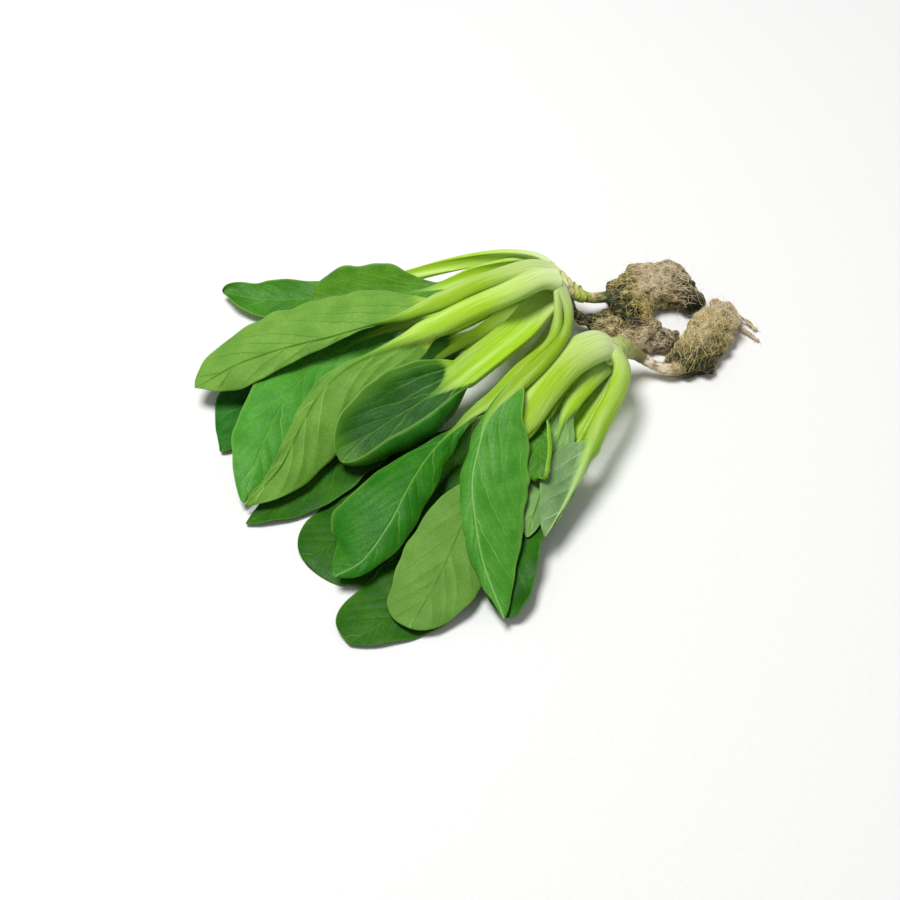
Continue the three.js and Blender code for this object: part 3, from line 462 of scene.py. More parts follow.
class FineLeaf:
    """A leaf on a fine grid of lines across it, which crowd at the tip and at the edges."""

    def __init__(self, name, leaf, grid):
        self.name = name
        self.leaf = leaf
        self.seed = sum(ord(letter) * (n + 3) for n, letter in enumerate(name))
        tau = np.linspace(0, 1, BLADE_LINES)
        self.share = np.concatenate([np.linspace(0, leaf["bare"], STALK_LINES)[:-1],
                                     mix(leaf["bare"], 1, 1 - (1 - tau) ** TIP_CROWDING)])
        self.bs = blade_share(leaf, self.share)[:, None]
        self.along = (self.share - leaf["bare"])[:, None] * Route(leaf["route"]).lengths[-1]
        self.in_blade = ease(self.bs, 0, WING_RUN)
        self.into_rib = slow_start(self.bs / RIB_REACHES.get(name, RIB_REACH))
        stalk = mix(*leaf["stalk"], np.minimum(self.share / leaf["bare"], 1))[:, None]
        rib = mix(stalk, RIB_TIP, self.into_rib)
        halves = [self.half_width(rib, hand) for hand in (0, 1)]
        q = np.linspace(-1, 1, COLUMNS)
        spread = np.sign(q) * ((1 - MIDDLE_CROWDING) * np.abs(q) + MIDDLE_CROWDING * q**2)
        half = np.where(q > 0, halves[1], halves[0])
        self.v = spread * half
        self.x = np.abs(self.v)
        self.reach = np.abs(spread)
        self.margin = (np.abs(q) == 1) * 1.0
        self.rib = np.minimum(rib, np.minimum(*halves) * mix(1, 0.45, ease(self.bs, 0.5, 1)))
        self.points = surface(leaf, self.share, self.v, half)
        self.points[..., 2] += lift_at(grid, self.share, self.v)
        self.add_veins()

    def half_width(self, rib, hand):
        """Distance from the middle line to the uneven edge, which is never within the rib."""
        blade = blade_half(self.leaf, self.bs, hand)
        uneven = (1 + EDGE_SWELL * np.sin(self.along / EDGE_SWELL_LENGTH + self.seed + hand)
                  + EDGE_NICK * np.sin(self.along / EDGE_NICK_LENGTH + hand))
        blade = blade * mix(1, uneven, ease(self.bs, 0.1, 0.3))
        slim = mix(rib, TIP_EDGE, ease(self.bs, 0.6, 1))
        return (blade**4 + slim**4) ** 0.25

    def add_veins(self):
        """Side veins leave the rib by turns and lean towards the tip."""
        wander = VEIN_WANDER * swell_of(self.along / VEIN_WANDER_LENGTH, self.v / VEIN_WANDER_LENGTH,
                                        self.seed)
        lean = VEIN_LEANS.get(self.name, VEIN_LEAN)
        spacing = VEIN_SPACING * math.hypot(1, lean) / math.hypot(1, VEIN_LEAN)
        w = (self.along - lean * self.x - VEIN_BEND * self.x**2 + wander) / spacing
        w = w + np.where(self.v > 0, 0.5, 0)
        self.phase = w + 0.22 * np.sin(w * 1.9 + self.seed)
        away = np.abs(self.phase - np.round(self.phase)) * spacing / (1 + lean)
        taper = (1 - ease(self.reach, 0.35, 0.95)) * ease(self.x, self.rib * 0.6, self.rib * 1.4)
        self.vein = np.exp(-(away / VEIN_HALF_WIDTH) ** 2) * taper * self.in_blade

    def relief(self):
        """How far the blade bulges between its veins, crumples, and ruffles at its margin."""
        s, v = self.along, self.v
        cushion = (0.5 - 0.5 * np.cos(2 * np.pi * self.phase)) * (1 - ease(self.reach, 0.6, 1))
        cushion *= ease(self.x, self.rib, self.rib * 2.5)
        crumple = CRUMPLE * swell_of(s / CRUMPLE_LENGTH, v / CRUMPLE_LENGTH, self.seed + 5)
        relief = CUSHION * cushion + crumple * ease(self.reach, 0.1, 0.5)
        drift = 2 * swell_of(s / RUFFLE_DRIFT, v / RUFFLE_DRIFT, self.seed + 9)
        ruffle = np.sin(s / RUFFLE_LENGTH + drift + self.seed)
        relief = relief * CRUMPLES.get(self.name, 1) + RUFFLE * ruffle * self.reach**4
        return relief * self.in_blade * (1 - ease(self.bs, 0.93, 1))

    def thickness(self):
        """How far the two faces lie from the middle surface: the stalk is a crescent, and in the
        blade it goes on as a rib that sinks into a thin sheet."""
        depth = mix(self.leaf["depth"], RIB_TIP_DEPTH, self.into_rib)
        ratio = self.x / self.rib
        crescent = np.sqrt(np.maximum(1 - np.minimum(ratio, 1) ** CRESCENT_FULLNESS, 0))
        beside = np.exp(-(np.maximum(ratio - 1, 0) / 0.25) ** 2)
        outer_stalk = mix(SHEET, STALK_FOOT + STALK_EDGE, beside) + (depth - STALK_EDGE) * crescent
        hump = np.maximum(1 - (ratio / RIB_HUMP_WIDTH) ** 2, 0) ** 1.5
        outer_blade = SHEET + (RIB_HUMP[0] + RIB_HUMP[1] * depth) * hump * (1 - ease(self.bs, 0.85, 1))
        outer = mix(outer_stalk, outer_blade, self.in_blade) + VEIN_OUT * self.vein
        inner_stalk = mix(-HALF_SHEET, SHEET, ease(ratio, 1, 1.3))
        inner_blade = SHEET - RIB_GROOVE * np.maximum(1 - ratio**2, 0)
        inner = mix(inner_stalk, inner_blade, self.in_blade) - VEIN_IN * self.vein
        return [mix(side, EDGE_THIN, self.margin * self.in_blade) for side in (inner, outer)]

    def faces(self):
        """Points of the inner and the outer face in metres, none of them in the ground."""
        p = self.points
        normal = unit(np.cross(np.gradient(p, axis=1), np.gradient(p, axis=0)))
        p = p + normal * self.relief()[..., None]
        inner, outer = self.thickness()
        faces = [p + normal * offset[..., None] for offset in (inner, -outer)]
        for face in faces:
            face[..., 2] = np.maximum(face[..., 2], GROUND)
        return [(face - CENTRE) * MM for face in faces]

    def values(self):
        """What the leaf's material reads at each point."""
        flesh_run = ease(self.bs, 0, FLESH_RUNS.get(self.name, FLESH_RUN))
        flesh = mix(1, 1 - ease(self.x / self.rib, 0.35, 1.35), flesh_run)
        values = dict(along=self.along, across=self.v, reach=self.reach, share=self.share[:, None],
                      flesh=flesh, vein=self.phase, rim=self.margin, blade=self.bs)
        return {key: np.broadcast_to(value, self.v.shape) for key, value in values.items()}


def sheet_quads(rows, columns):
    """Faces of a closed sheet: two grids of points, joined round the edge."""
    i, k = np.meshgrid(np.arange(rows - 1), np.arange(columns - 1), indexing="ij")

    def at(r, c, face):
        return (face * rows + r) * columns + c

    def quads(*corners):
        return np.stack([at(*corner) for corner in corners], 1)

    i, k = i.ravel(), k.ravel()
    faces = [quads((i, k, 0), (i, k + 1, 0), (i + 1, k + 1, 0), (i + 1, k, 0)),
             quads((i, k, 1), (i + 1, k, 1), (i + 1, k + 1, 1), (i, k + 1, 1))]
    i = np.arange(rows - 1)
    k = columns - 1
    faces += [quads((i, 0, 1), (i, 0, 0), (i + 1, 0, 0), (i + 1, 0, 1)),
              quads((i, k, 0), (i, k, 1), (i + 1, k, 1), (i + 1, k, 0))]
    k = np.arange(columns - 1)
    i = rows - 1
    faces += [quads((0, k, 0), (0, k, 1), (0, k + 1, 1), (0, k + 1, 0)),
              quads((i, k, 1), (i, k, 0), (i, k + 1, 0), (i, k + 1, 1))]
    return np.concatenate(faces), 2 * (columns - 1)


def add_object(name, data):
    obj = bpy.data.objects.new(name, data)
    bpy.context.scene.collection.objects.link(obj)
    return obj


def set_values(mesh, values):
    for key, value in values.items():
        layer = mesh.attributes.new(key, "FLOAT", "POINT")
        layer.data.foreach_set("value", np.ascontiguousarray(value, np.float32).ravel())


def new_piece(name, points, faces, values, flat=0):
    """A mesh object of quads or triangles; the last faces, as many as flat says, are its cut ends."""
    mesh = bpy.data.meshes.new(name)
    mesh.vertices.add(len(points))
    mesh.vertices.foreach_set("co", points.ravel())
    size = faces.shape[1]
    mesh.loops.add(faces.size)
    mesh.loops.foreach_set("vertex_index", faces.ravel())
    mesh.polygons.add(len(faces))
    mesh.polygons.foreach_set("loop_start", np.arange(0, faces.size, size))
    smooth = np.arange(len(faces)) < len(faces) - flat
    mesh.update(calc_edges=True)
    mesh.polygons.foreach_set("use_smooth", smooth)
    if flat:
        # The cut ends are left out of the smoothing, so that no ring shows where two pieces meet
        edges = np.empty(len(mesh.loops), int)
        mesh.loops.foreach_get("edge_index", edges)
        sharp = np.zeros(len(mesh.edges), bool)
        sharp[edges[-size * flat:]] = True
        mesh.edges.foreach_set("use_edge_sharp", sharp)
    set_values(mesh, values)
    mesh.validate()
    return add_object(name, mesh)


# Materials
class Term:
    """A value of a material's node tree, so that its formulas read like any other."""

    def __init__(self, shader, socket):
        self.shader = shader
        self.socket = socket

    def __add__(self, other):
        return self.shader.math("ADD", self, other)

    def __sub__(self, other):
        return self.shader.math("SUBTRACT", self, other)

    def __rsub__(self, other):
        return self.shader.math("SUBTRACT", other, self)

    def __mul__(self, other):
        return self.shader.math("MULTIPLY", self, other)

    def __abs__(self):
        return self.shader.math("ABSOLUTE", self)


class Shader:
    """A material whose nodes are made and joined by short calls."""

    def __init__(self, name):
        self.material = bpy.data.materials.new(name)
        self.material.use_nodes = True
        self.tree = self.material.node_tree
        self.tree.nodes.clear()
        out = self.tree.nodes.new("ShaderNodeOutputMaterial")
        self.skin = self.tree.nodes.new("ShaderNodeBsdfPrincipled")
        self.tree.links.new(self.skin.outputs[0], out.inputs[0])

    def put(self, socket, value):
        if isinstance(value, Term):
            self.tree.links.new(value.socket, socket)
        elif isinstance(value, tuple) and len(socket.default_value) > len(value):
            socket.default_value = value + (1,)
        else:
            socket.default_value = value

    def node(self, kind, inputs=(), out=0, **settings):
        """Makes a node, fills its inputs, in order or by key, and returns one output."""
        node = self.tree.nodes.new(kind)
        for key, value in settings.items():
            setattr(node, key, value)
        for key, value in inputs.items() if isinstance(inputs, dict) else enumerate(inputs):
            self.put(node.inputs[key], value)
        return Term(self, node.outputs[out])

    def read(self, name):
        return self.node("ShaderNodeAttribute", out="Fac", attribute_name=name)

    def spot(self):
        return self.node("ShaderNodeTexCoord", out="Object")

    def math(self, operation, *values):
        return self.node("ShaderNodeMath", values, operation=operation)

    def from_middle(self, value):
        """Distance to the middle between two whole numbers, which is 0.5 at a whole number."""
        return abs(self.math("FRACT", value) - 0.5)

    def step(self, value, low, high, first=0.0, last=1.0):
        """Smooth change from first to last as the value goes from low to high."""
        return self.node("ShaderNodeMapRange", (value, low, high, first, last),
                         interpolation_type="SMOOTHSTEP")

    def mix(self, share, a, b):
        return self.node("ShaderNodeMix", {0: share, 6: a, 7: b}, 2, data_type="RGBA")

    def vector(self, x, y, z=0.0):
        return self.node("ShaderNodeCombineXYZ", (x, y, z))

    def noise(self, where, scale, detail):
        return self.node("ShaderNodeTexNoise", dict(Vector=where, Scale=scale, Detail=detail))

    def cracks(self, where, scale):
        return self.node("ShaderNodeTexVoronoi", dict(Vector=where, Scale=scale),
                         feature="DISTANCE_TO_EDGE")

    def ramp(self, value, *stops):
        node = self.tree.nodes.new("ShaderNodeValToRGB")
        self.put(node.inputs[0], value)
        while len(node.color_ramp.elements) < len(stops):
            node.color_ramp.elements.new(0.5)
        for element, (place, colour) in zip(node.color_ramp.elements, stops):
            element.position = place
            element.color = colour + (1,)
        return Term(self, node.outputs[0])

    def finish(self, colour, roughness, height, distance, strength=1.0, shine=0.5):
        bump = self.node("ShaderNodeBump", dict(Strength=strength, Distance=distance, Height=height))
        skin = {"Base Color": colour, "Roughness": roughness, "Specular IOR Level": shine, "Normal": bump}
        for key, value in skin.items():
            self.put(self.skin.inputs[key], value)
        return self.material


def tint(colour, by):
    return tuple(min(c * b, 1) for c, b in zip(colour, by))


LEAF_VALUES = ("along", "across", "reach", "flesh", "vein", "rim", "blade", "under", "share")


def leaf_veins(sh, on):
    """Side veins that taper towards the edge, faint lines between them, and a fine net."""
    shifted = on.vein + (on.patches - 0.5) * 0.25 + (on.wavy - 0.5) * 0.2
    width = sh.step(on.reach, 0.1, 0.95, 0.05, 0.016)
    veins = 1.0 - sh.step(0.5 - sh.from_middle(shifted), 0.0, width)
    veins = veins * sh.step(on.reach, 0.55, 1.0, 1.0, 0.15)
    lines = sh.step(sh.from_middle(shifted * 3.0), 0.36, 0.5) * sh.step(on.patches, 0.4, 0.6)
    bent = sh.vector(on.along + on.fine * 2.0, on.across)
    return veins, lines, sh.step(sh.cracks(bent, 0.3), 0.0, 0.14, 1.0, 0.0)


def leaf_green(sh, on, look):
    """Greens of the two faces, with their veins, a paler margin and a fan of veins at the foot; on some
    leaves the veins of the under face are painted dark, as the shade in their grooves.
    """
    upper = sh.mix(sh.step(on.patches, 0.3, 0.7), look["upper"], look["upper2"])
    upper = sh.mix(on.lines * 0.25, upper, look["vein"])
    upper = sh.mix(on.net * 0.26, upper, tint(look["upper"], (0.45, 0.6, 0.5)))
    upper = sh.mix(on.veins * look["vein_show"], upper, look["vein"])
    lower = sh.mix(sh.step(on.patches, 0.3, 0.7), look["under"], look["under2"])
    lower = sh.mix(on.net * 0.24, lower, tint(look["under"], (0.66, 0.76, 0.5)))
    # Veins of the under face take their own colour, which on some leaves is painted dark as the shade in
    # their grooves
    lower = sh.mix(on.veins * look["vein_show"], lower, look["under_vein_and_groove_shade"])
    border = sh.step(on.reach, look["edge_from"], 1.0)
    if "edge_hand" in look:
        border = border * sh.step(on.across * look["edge_hand"], -2.0, 2.0)
    border = sh.math("MAXIMUM", border, sh.step(on.blade, 0.78, 0.98, 0.0, look["tip_show"]))
    green = sh.mix(border * look["edge_show"], sh.mix(on.under, upper, lower), look["edge"])
    green = sh.mix(on.rim * 0.45, green, look["rim"])
    fan = sh.step(sh.from_middle(on.reach * 3.4 + on.wavy * 0.3), 0.4, 0.5)
    fan = fan * sh.step(on.blade, 0.15, 0.65, look["fan"], 0.0) * sh.step(on.reach, 0.8, 1.0, 1.0, 0.0)
    return sh.mix(fan, green, sh.mix(on.under, look["vein"], look["under_vein_and_groove_shade"]))


def stalk_flesh(sh, on, look):
    """Flesh of the stalk: whitish at the crown, lime further on, greener into the rib."""
    stalk = sh.ramp(on.share, (0.0, look["base"]), (0.10, look["pale"]), (0.22, look["lime"]),
                    (0.42, look["lime2"]), (0.62, look["rib"]), (1.0, look["vein"]))
    stalk = sh.mix(sh.step(on.broad, 0.35, 0.7, 0.0, 0.5), stalk, look["stripe"])
    stalk = sh.mix(sh.step(on.streak, 0.5, 0.68, 0.0, 0.3), stalk, tint(look["lime"], (0.6, 0.72, 0.3)))
    stalk = sh.mix(sh.step(on.streak, 0.34, 0.46, 0.22, 0.0), stalk, look["base"])
    return sh.mix(sh.step(on.blade, 0.08, 0.35), stalk, look.get("rib_tone", look["rib"]))


def leaf_material(name, look):
    sh = Shader(name)
    on = SimpleNamespace(**{key: sh.read(key) for key in LEAF_VALUES})
    where = sh.vector(on.along, on.across)
    on.patches = sh.noise(where, 0.055, 3.0)
    on.fine = sh.noise(where, 0.7, 3.0)
    on.wavy = sh.noise(where, 0.16, 1.0)
    lengthwise = sh.vector(on.along * 0.03, on.across)
    on.streak = sh.noise(lengthwise, 1.1, 3.0)
    on.broad = sh.noise(lengthwise, 0.22, 1.0)
    on.veins, on.lines, on.net = leaf_veins(sh, on)
    shown = sh.step(on.flesh + (on.streak - 0.5) * 1.3, 0.2, 0.8)
    shown = shown * sh.step(on.blade, 0.04, 0.36, 1.0, 1 - look["rib_fade"])
    line = sh.step(abs(on.across), 0.15, 0.75, look["midrib"], 0.0) * sh.step(on.blade, 0.02, 0.15)
    shown = sh.math("MAXIMUM", shown, line)
    colour = sh.mix(shown, leaf_green(sh, on, look), stalk_flesh(sh, on, look))
    gloss = sh.mix(on.flesh, sh.mix(on.under, (0.46,) * 3, (0.6,) * 3), (0.36,) * 3)
    # Veins sink into the upper face and stand out of the under face
    raised = (on.veins * 0.8 + on.net * 0.3) * (on.under * 2.0 - 1.0) * (1.0 - on.flesh)
    height = raised + on.fine * 0.35 + on.streak * on.flesh
    return sh.finish(colour, gloss + (on.fine - 0.5) * 0.22, height, 0.25 * MM, 0.7, 0.15)


LIME = dict(base=(0.76, 0.88, 0.50), pale=(0.56, 0.74, 0.22), lime=(0.39, 0.64, 0.02),
            lime2=(0.34, 0.60, 0.015), rib=(0.22, 0.46, 0.025), stripe=(0.62, 0.84, 0.22))
# The usual greens; the under veins are painted darker than the under face, as the shade in the grooves
# beside them
GREENS = dict(upper=(0.045, 0.19, 0.012), upper2=(0.07, 0.25, 0.018), under=(0.14, 0.32, 0.04),
              under2=(0.19, 0.40, 0.07), vein=(0.20, 0.42, 0.07), under_vein_and_groove_shade=(0.10, 0.26, 0.02),
              edge=(0.12, 0.32, 0.03), rim=(0.30, 0.52, 0.12), rib_fade=0.35,
              vein_show=0.5, edge_show=0.25, edge_from=0.86, tip_show=0.0, fan=0.25, midrib=0.0, **LIME)
# Deeper greens for the low leaves that lie under the others, which also carry painted shade where the leaves
# above shade them
DARK_AND_SHADED = dict(GREENS, upper=(0.014, 0.09, 0.003), upper2=(0.026, 0.145, 0.004), edge=(0.035, 0.16, 0.006),
            under=(0.015, 0.10, 0.004), under2=(0.026, 0.14, 0.006), under_vein_and_groove_shade=(0.08, 0.24, 0.02),
            vein=(0.085, 0.25, 0.022), rim=(0.13, 0.34, 0.035), rib_fade=0.75,
            rib_tone=(0.10, 0.28, 0.02))


# Darker copies of the stalk colours: painted shade for stalks that lie in the shade of other leaves
def shaded_lime(by):
    return {key: tint(value, (by,) * 3) for key, value in LIME.items()}


# Stalks of a3, a9, a10, b1 and b2 take the darker copies of the lime, as painted shade
LOOKS = {
    "a1": dict(GREENS, upper=(0.038, 0.19, 0.009), upper2=(0.068, 0.27, 0.015), rib_fade=0.85,
               edge=(0.13, 0.28, 0.012), edge_show=0.6),
    "a2": dict(GREENS, upper=(0.055, 0.19, 0.005), upper2=(0.09, 0.27, 0.01), rib_fade=0.85,
               edge=(0.20, 0.42, 0.06), edge_show=0.5, fan=0.45),
    # a3's under veins are painted dark, as the shade in their grooves
    "a3": dict(GREENS, **shaded_lime(0.84), under=(0.135, 0.315, 0.04), under2=(0.19, 0.39, 0.055),
               under_vein_and_groove_shade=(0.05, 0.19, 0.008), rib_tone=(0.10, 0.26, 0.015), rib_fade=0.5,
               vein_show=0.75, midrib=0.7),
    "a4": dict(DARK_AND_SHADED, upper=(0.012, 0.11, 0.005), upper2=(0.03, 0.19, 0.02)),
    "a5": dict(GREENS, upper=(0.05, 0.255, 0.016), upper2=(0.08, 0.335, 0.03), rib_fade=0.85,
               edge=(0.16, 0.40, 0.05), edge_show=0.4, vein_show=0.6),
    "a6": dict(GREENS, under=(0.115, 0.28, 0.03), under2=(0.16, 0.355, 0.045), rib_fade=0.7,
               under_vein_and_groove_shade=(0.27, 0.52, 0.10), fan=0.4, vein_show=0.8),
    "a7": dict(GREENS, upper=(0.010, 0.078, 0.003), upper2=(0.020, 0.12, 0.006),
               vein=(0.11, 0.28, 0.05), under=(0.010, 0.10, 0.003), under2=(0.020, 0.15, 0.005),
               under_vein_and_groove_shade=(0.04, 0.18, 0.01), edge=(0.10, 0.27, 0.018), vein_show=0.7, rib_fade=0.5,
               edge_from=0.6, edge_show=0.75, tip_show=0.8, edge_hand=1,
               rib_tone=(0.10, 0.26, 0.04), fan=0.8),
    # a8's blade takes the deeper, shaded greens, and its stalk a brighter lime that is painted light where
    # the leaves above cast shade on it
    "a8": dict(DARK_AND_SHADED, upper=(0.016, 0.095, 0.002), upper2=(0.035, 0.165, 0.003), rib=(0.30, 0.55, 0.01),
               lime=(0.60, 0.88, 0.01), lime2=(0.50, 0.80, 0.01)),
    "a9": dict(GREENS, **shaded_lime(0.78), upper=(0.015, 0.148, 0.003), upper2=(0.030, 0.195, 0.006),
               rib_fade=0.8, vein=(0.13, 0.34, 0.04), midrib=0.65, rib_tone=(0.18, 0.42, 0.05)),
    "a10": dict(GREENS, **shaded_lime(0.72), upper=(0.052, 0.25, 0.017), upper2=(0.08, 0.31, 0.03), rib_fade=0.8,
                midrib=0.65, rib_tone=(0.27, 0.54, 0.11), edge=(0.17, 0.42, 0.04), edge_show=0.45,
                vein_show=0.8),
    "a11": dict(DARK_AND_SHADED, upper=(0.018, 0.105, 0.002), upper2=(0.028, 0.14, 0.004)),
    # b1's under veins are painted dark, as the shade in their grooves
    "b1": dict(GREENS, **shaded_lime(0.92), under=(0.115, 0.265, 0.035), under2=(0.15, 0.325, 0.05),
               under_vein_and_groove_shade=(0.075, 0.21, 0.015), rib_fade=0.8),
    "b2": dict(GREENS, **shaded_lime(0.88), under=(0.15, 0.29, 0.10), under2=(0.22, 0.375, 0.15),
               under_vein_and_groove_shade=(0.42, 0.60, 0.34), vein_show=0.8, rib_fade=0.0,
               rib_tone=(0.38, 0.58, 0.18)),
    "b3": DARK_AND_SHADED,
    "b4": dict(GREENS, under=(0.17, 0.34, 0.10), under2=(0.24, 0.44, 0.13),
               under_vein_and_groove_shade=(0.42, 0.62, 0.20), vein_show=0.9, rib_fade=0.6, fan=0.95),
    "b5": dict(DARK_AND_SHADED, upper=(0.018, 0.11, 0.002), upper2=(0.036, 0.15, 0.004), vein_show=0.7),
    "b6": dict(GREENS, upper=(0.05, 0.20, 0.014), upper2=(0.075, 0.25, 0.02),
               under=(0.21, 0.47, 0.03), under2=(0.26, 0.53, 0.035), edge=(0.20, 0.44, 0.02),
               rib_fade=0.85, under_vein_and_groove_shade=(0.15, 0.38, 0.02)),
    "b7": DARK_AND_SHADED,
}

heights = np.full([math.ceil((high - low) / CELL) for low, high in zip(MAP_MIN, MAP_MAX)], -CLEARANCE)
grids = {name: Laid(leaf) for name, leaf in LEAVES.items()}
for name in LAYING_ORDER:
    lay(grids[name], heights)

for name, leaf in LEAVES.items():
    material = leaf_material(f"leaf_{name}", LOOKS[name])
    fine = FineLeaf(name, leaf, grids[name])
    faces = fine.faces()
    for part, first, last in (("stalk", 0, STALK_LINES), ("blade", STALK_LINES - 1, len(fine.share))):
        rows = slice(first, last)
        points = np.concatenate([face[rows].reshape(-1, 3) for face in faces])
        quads, ends = sheet_quads(last - first, COLUMNS)
        own = {key: np.tile(value[rows].ravel(), 2) for key, value in fine.values().items()}
        own["under"] = np.repeat([0.0, 1.0], len(points) // 2)
        piece = new_piece(f"{part}_{name}", points, quads, own, ends)
        piece.data.materials.append(material)
        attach(piece, "root")
        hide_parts(f"leaf_{name}_{part}")

# Crowns and roots
LOBE_RELIEF = 0.12
LOBE_WAVES = (5, 6, 7)
LOBE_SKEW = 4
LOBE_SECOND = 0.6
VOXEL = 0.8
TUBE_SIDES = 18
TUBE_LINES = 30
CROWN_SIDES = 72
CROWN_LINES = 110
SCARS = 6.5
NECK_STEPS = 60
# Loose rootlets: least and most steps, and length of a step, height over the mass and radius
STRAND_STEPS = (7, 18)
STRAND_STEP = (1.0, 1.9)
STRAND_LIFT = (0.05, 0.5)
STRAND_RADIUS = (0.08, 0.22)
# Stations are x, y, height and radius; lobes are a place and three half sizes, as in the CAD source.
# Zones colour the roots: place, radius, lightness and how grey. The grain is the way that fibres run.
HEADS = {
    "a": dict(
        seed=11,
        crown=[(112, 43, 17, 4), (105, 48, 21, 5), (99, 52, 26, 7.5), (94, 58, 32, 8), (87, 57, 34, 5)],
        neck=[(112, 43, 17, 3.6), (121, 41, 14, 3.6), (130, 39, 13, 4), (140, 38, 12, 6)],
        strands=[[(101, 47, 21, 3), (99, 39, 15, 3.2), (103, 32, 11, 3.4), (112, 27, 9, 5)],
                 [(166, 44, 20, 1), (180, 44, 17, 0.9), (188, 34, 8, 0.8)]],
        lobes=[((142, 40, 10), (14, 11, 11)), ((156, 37, 12), (17, 16, 13)),
               ((168, 31, 11), (14, 17, 12)), ((176, 18, 8), (10, 12, 10)),
               ((136, 25, 9), (15, 14, 11)), ((117, 20, 7), (13, 12, 9)),
               ((130, 7, 6), (17, 13, 8)), ((141, -4, 4), (12, 8, 6))],
        zones=[((139, 44, 18), 7, 0.45, 0.1), ((134, 40, 12), 5, 0.05, 0.0), ((155, 30, 24), 8, 0.85, 0.9),
               ((166, 36, 22), 9, 0.75, 0.8), ((165, 22, 20), 8, 0.55, 0.75), ((178, 11, 10), 9, 0.03, 0.4),
               ((159, 15, 14), 7, 0.7, 0.15), ((143, 15, 14), 6, 0.9, 0.0), ((141, 30, 20), 7, 0.6, 0.1),
               ((131, 29, 16), 8, 0.08, 0.0), ((120, 32, 12), 8, 0.08, 0.0), ((130, 14, 12), 7, 0.12, 0.0),
               ((117, 17, 12), 7, 0.62, 0.4), ((106, 34, 9), 7, 0.06, 0.2), ((126, 3, 9), 8, 0.7, 0.75),
               ((135, -6, 7), 7, 0.5, 0.9), ((144, -2, 10), 7, 0.25, 0.8)],
        skin=[(0.0, (0.50, 0.58, 0.12)), (0.12, (0.74, 0.64, 0.30)), (0.3, (0.45, 0.45, 0.15)),
              (0.45, (0.09, 0.15, 0.05)), (0.7, (0.02, 0.035, 0.012))],
        knob=[(0.0, (0.46, 0.60, 0.06)), (0.25, (0.70, 0.70, 0.20)), (0.5, (0.93, 0.88, 0.42)),
              (0.8, (0.88, 0.89, 0.38)), (1.0, (0.72, 0.83, 0.28))],
        grain=(0.8, -0.6, 0), hairs=1900, loose=0.10, curly=0.3),
    "b": dict(
        seed=29,
        crown=[(116, -20, 15, 3.6), (111, -17, 20, 4.4), (105, -16, 25, 6.5), (97, -15, 29, 8),
               (89, -14, 30, 5)],
        neck=[(116, -20, 15, 3.4), (123, -26, 10, 3.5), (131, -32, 8, 4), (141, -31, 7, 5)],
        strands=[[(186, -8, 8, 1), (194, -20, 4, 0.9), (199, -34, 1.5, 0.8)],
                 [(190, -6, 9, 1), (199, -14, 5, 0.9), (203, -25, 1.5, 0.8)]],
        lobes=[((143, -29, 6), (11, 11, 9)), ((153, -29, 7), (13, 14, 10)),
               ((165, -21, 8), (14, 14, 11)), ((177, -14, 9), (13, 14, 11)),
               ((187, -8, 7), (10, 12, 9))],
        zones=[((136, -25, 10), 6, 0.2, 0.2), ((149, -37, 8), 9, 0.06, 0.0), ((157, -35, 10), 7, 0.3, 0.05),
               ((148, -22, 18), 8, 0.6, 0.3), ((160, -22, 20), 8, 0.88, 0.5), ((173, -15, 18), 8, 0.72, 0.3),
               ((168, -28, 12), 8, 0.4, 0.1), ((187, -6, 14), 8, 0.65, 0.7), ((192, -14, 10), 7, 0.75, 0.9),
               ((199, -28, 3), 8, 0.95, 0.8)],
        skin=[(0.0, (0.28, 0.18, 0.08)), (0.08, (0.94, 0.80, 0.62)), (0.5, (0.86, 0.72, 0.52)),
              (0.75, (0.62, 0.50, 0.28)), (0.95, (0.16, 0.17, 0.06))],
        # Head b's knob is coloured darker all over and browner towards the neck: partly its brown ring,
        # partly painted shade
        knob=[(0.0, (0.20, 0.16, 0.06)), (0.3, (0.27, 0.27, 0.07)), (0.6, (0.39, 0.48, 0.13)),
              (1.0, (0.52, 0.68, 0.22))],
        grain=(0.85, 0.5, 0), hairs=1700, loose=0.12, curly=0.2),
}


def tube(stations, sides, rows):
    """Rings of a round tube through the stations, as points and quads with closed ends."""
    stations = np.array(stations, float)
    route = Route(stations[:, :3])
    t = np.linspace(0, 1, rows)
    centre = route.at(t)
    along = unit(np.gradient(centre, axis=0))
    radius = np.interp(t * (len(stations) - 1), np.arange(len(stations)), stations[:, 3])
    side = np.array([0.0, 0.0, 1.0])
    points = []
    for c, a, r in zip(centre, along, radius):
        side = unit(side - a * side.dot(a))
        other = np.cross(a, side)
        angle = np.linspace(0, 2 * np.pi, sides, endpoint=False)[:, None]
        points.append(c + r * (np.cos(angle) * side + np.sin(angle) * other))
    points.append([centre[0]])
    points.append([centre[-1]])
    i, k = np.meshgrid(np.arange(rows - 1), np.arange(sides), indexing="ij")
    i, k = i.ravel() * sides, k.ravel()
    n = (k + 1) % sides
    a, b, c, d = i + k, i + n, i + sides + n, i + sides + k
    k = np.arange(sides)
    n = (k + 1) % sides
    first = np.full(sides, rows * sides)
    last = (rows - 1) * sides
    faces = np.concatenate([np.stack([a, b, c], 1), np.stack([a, c, d], 1),
                            np.stack([first, n, k], 1), np.stack([first + 1, last + k, last + n], 1)])
    return np.concatenate([np.array(p).reshape(-1, 3) for p in points]), faces


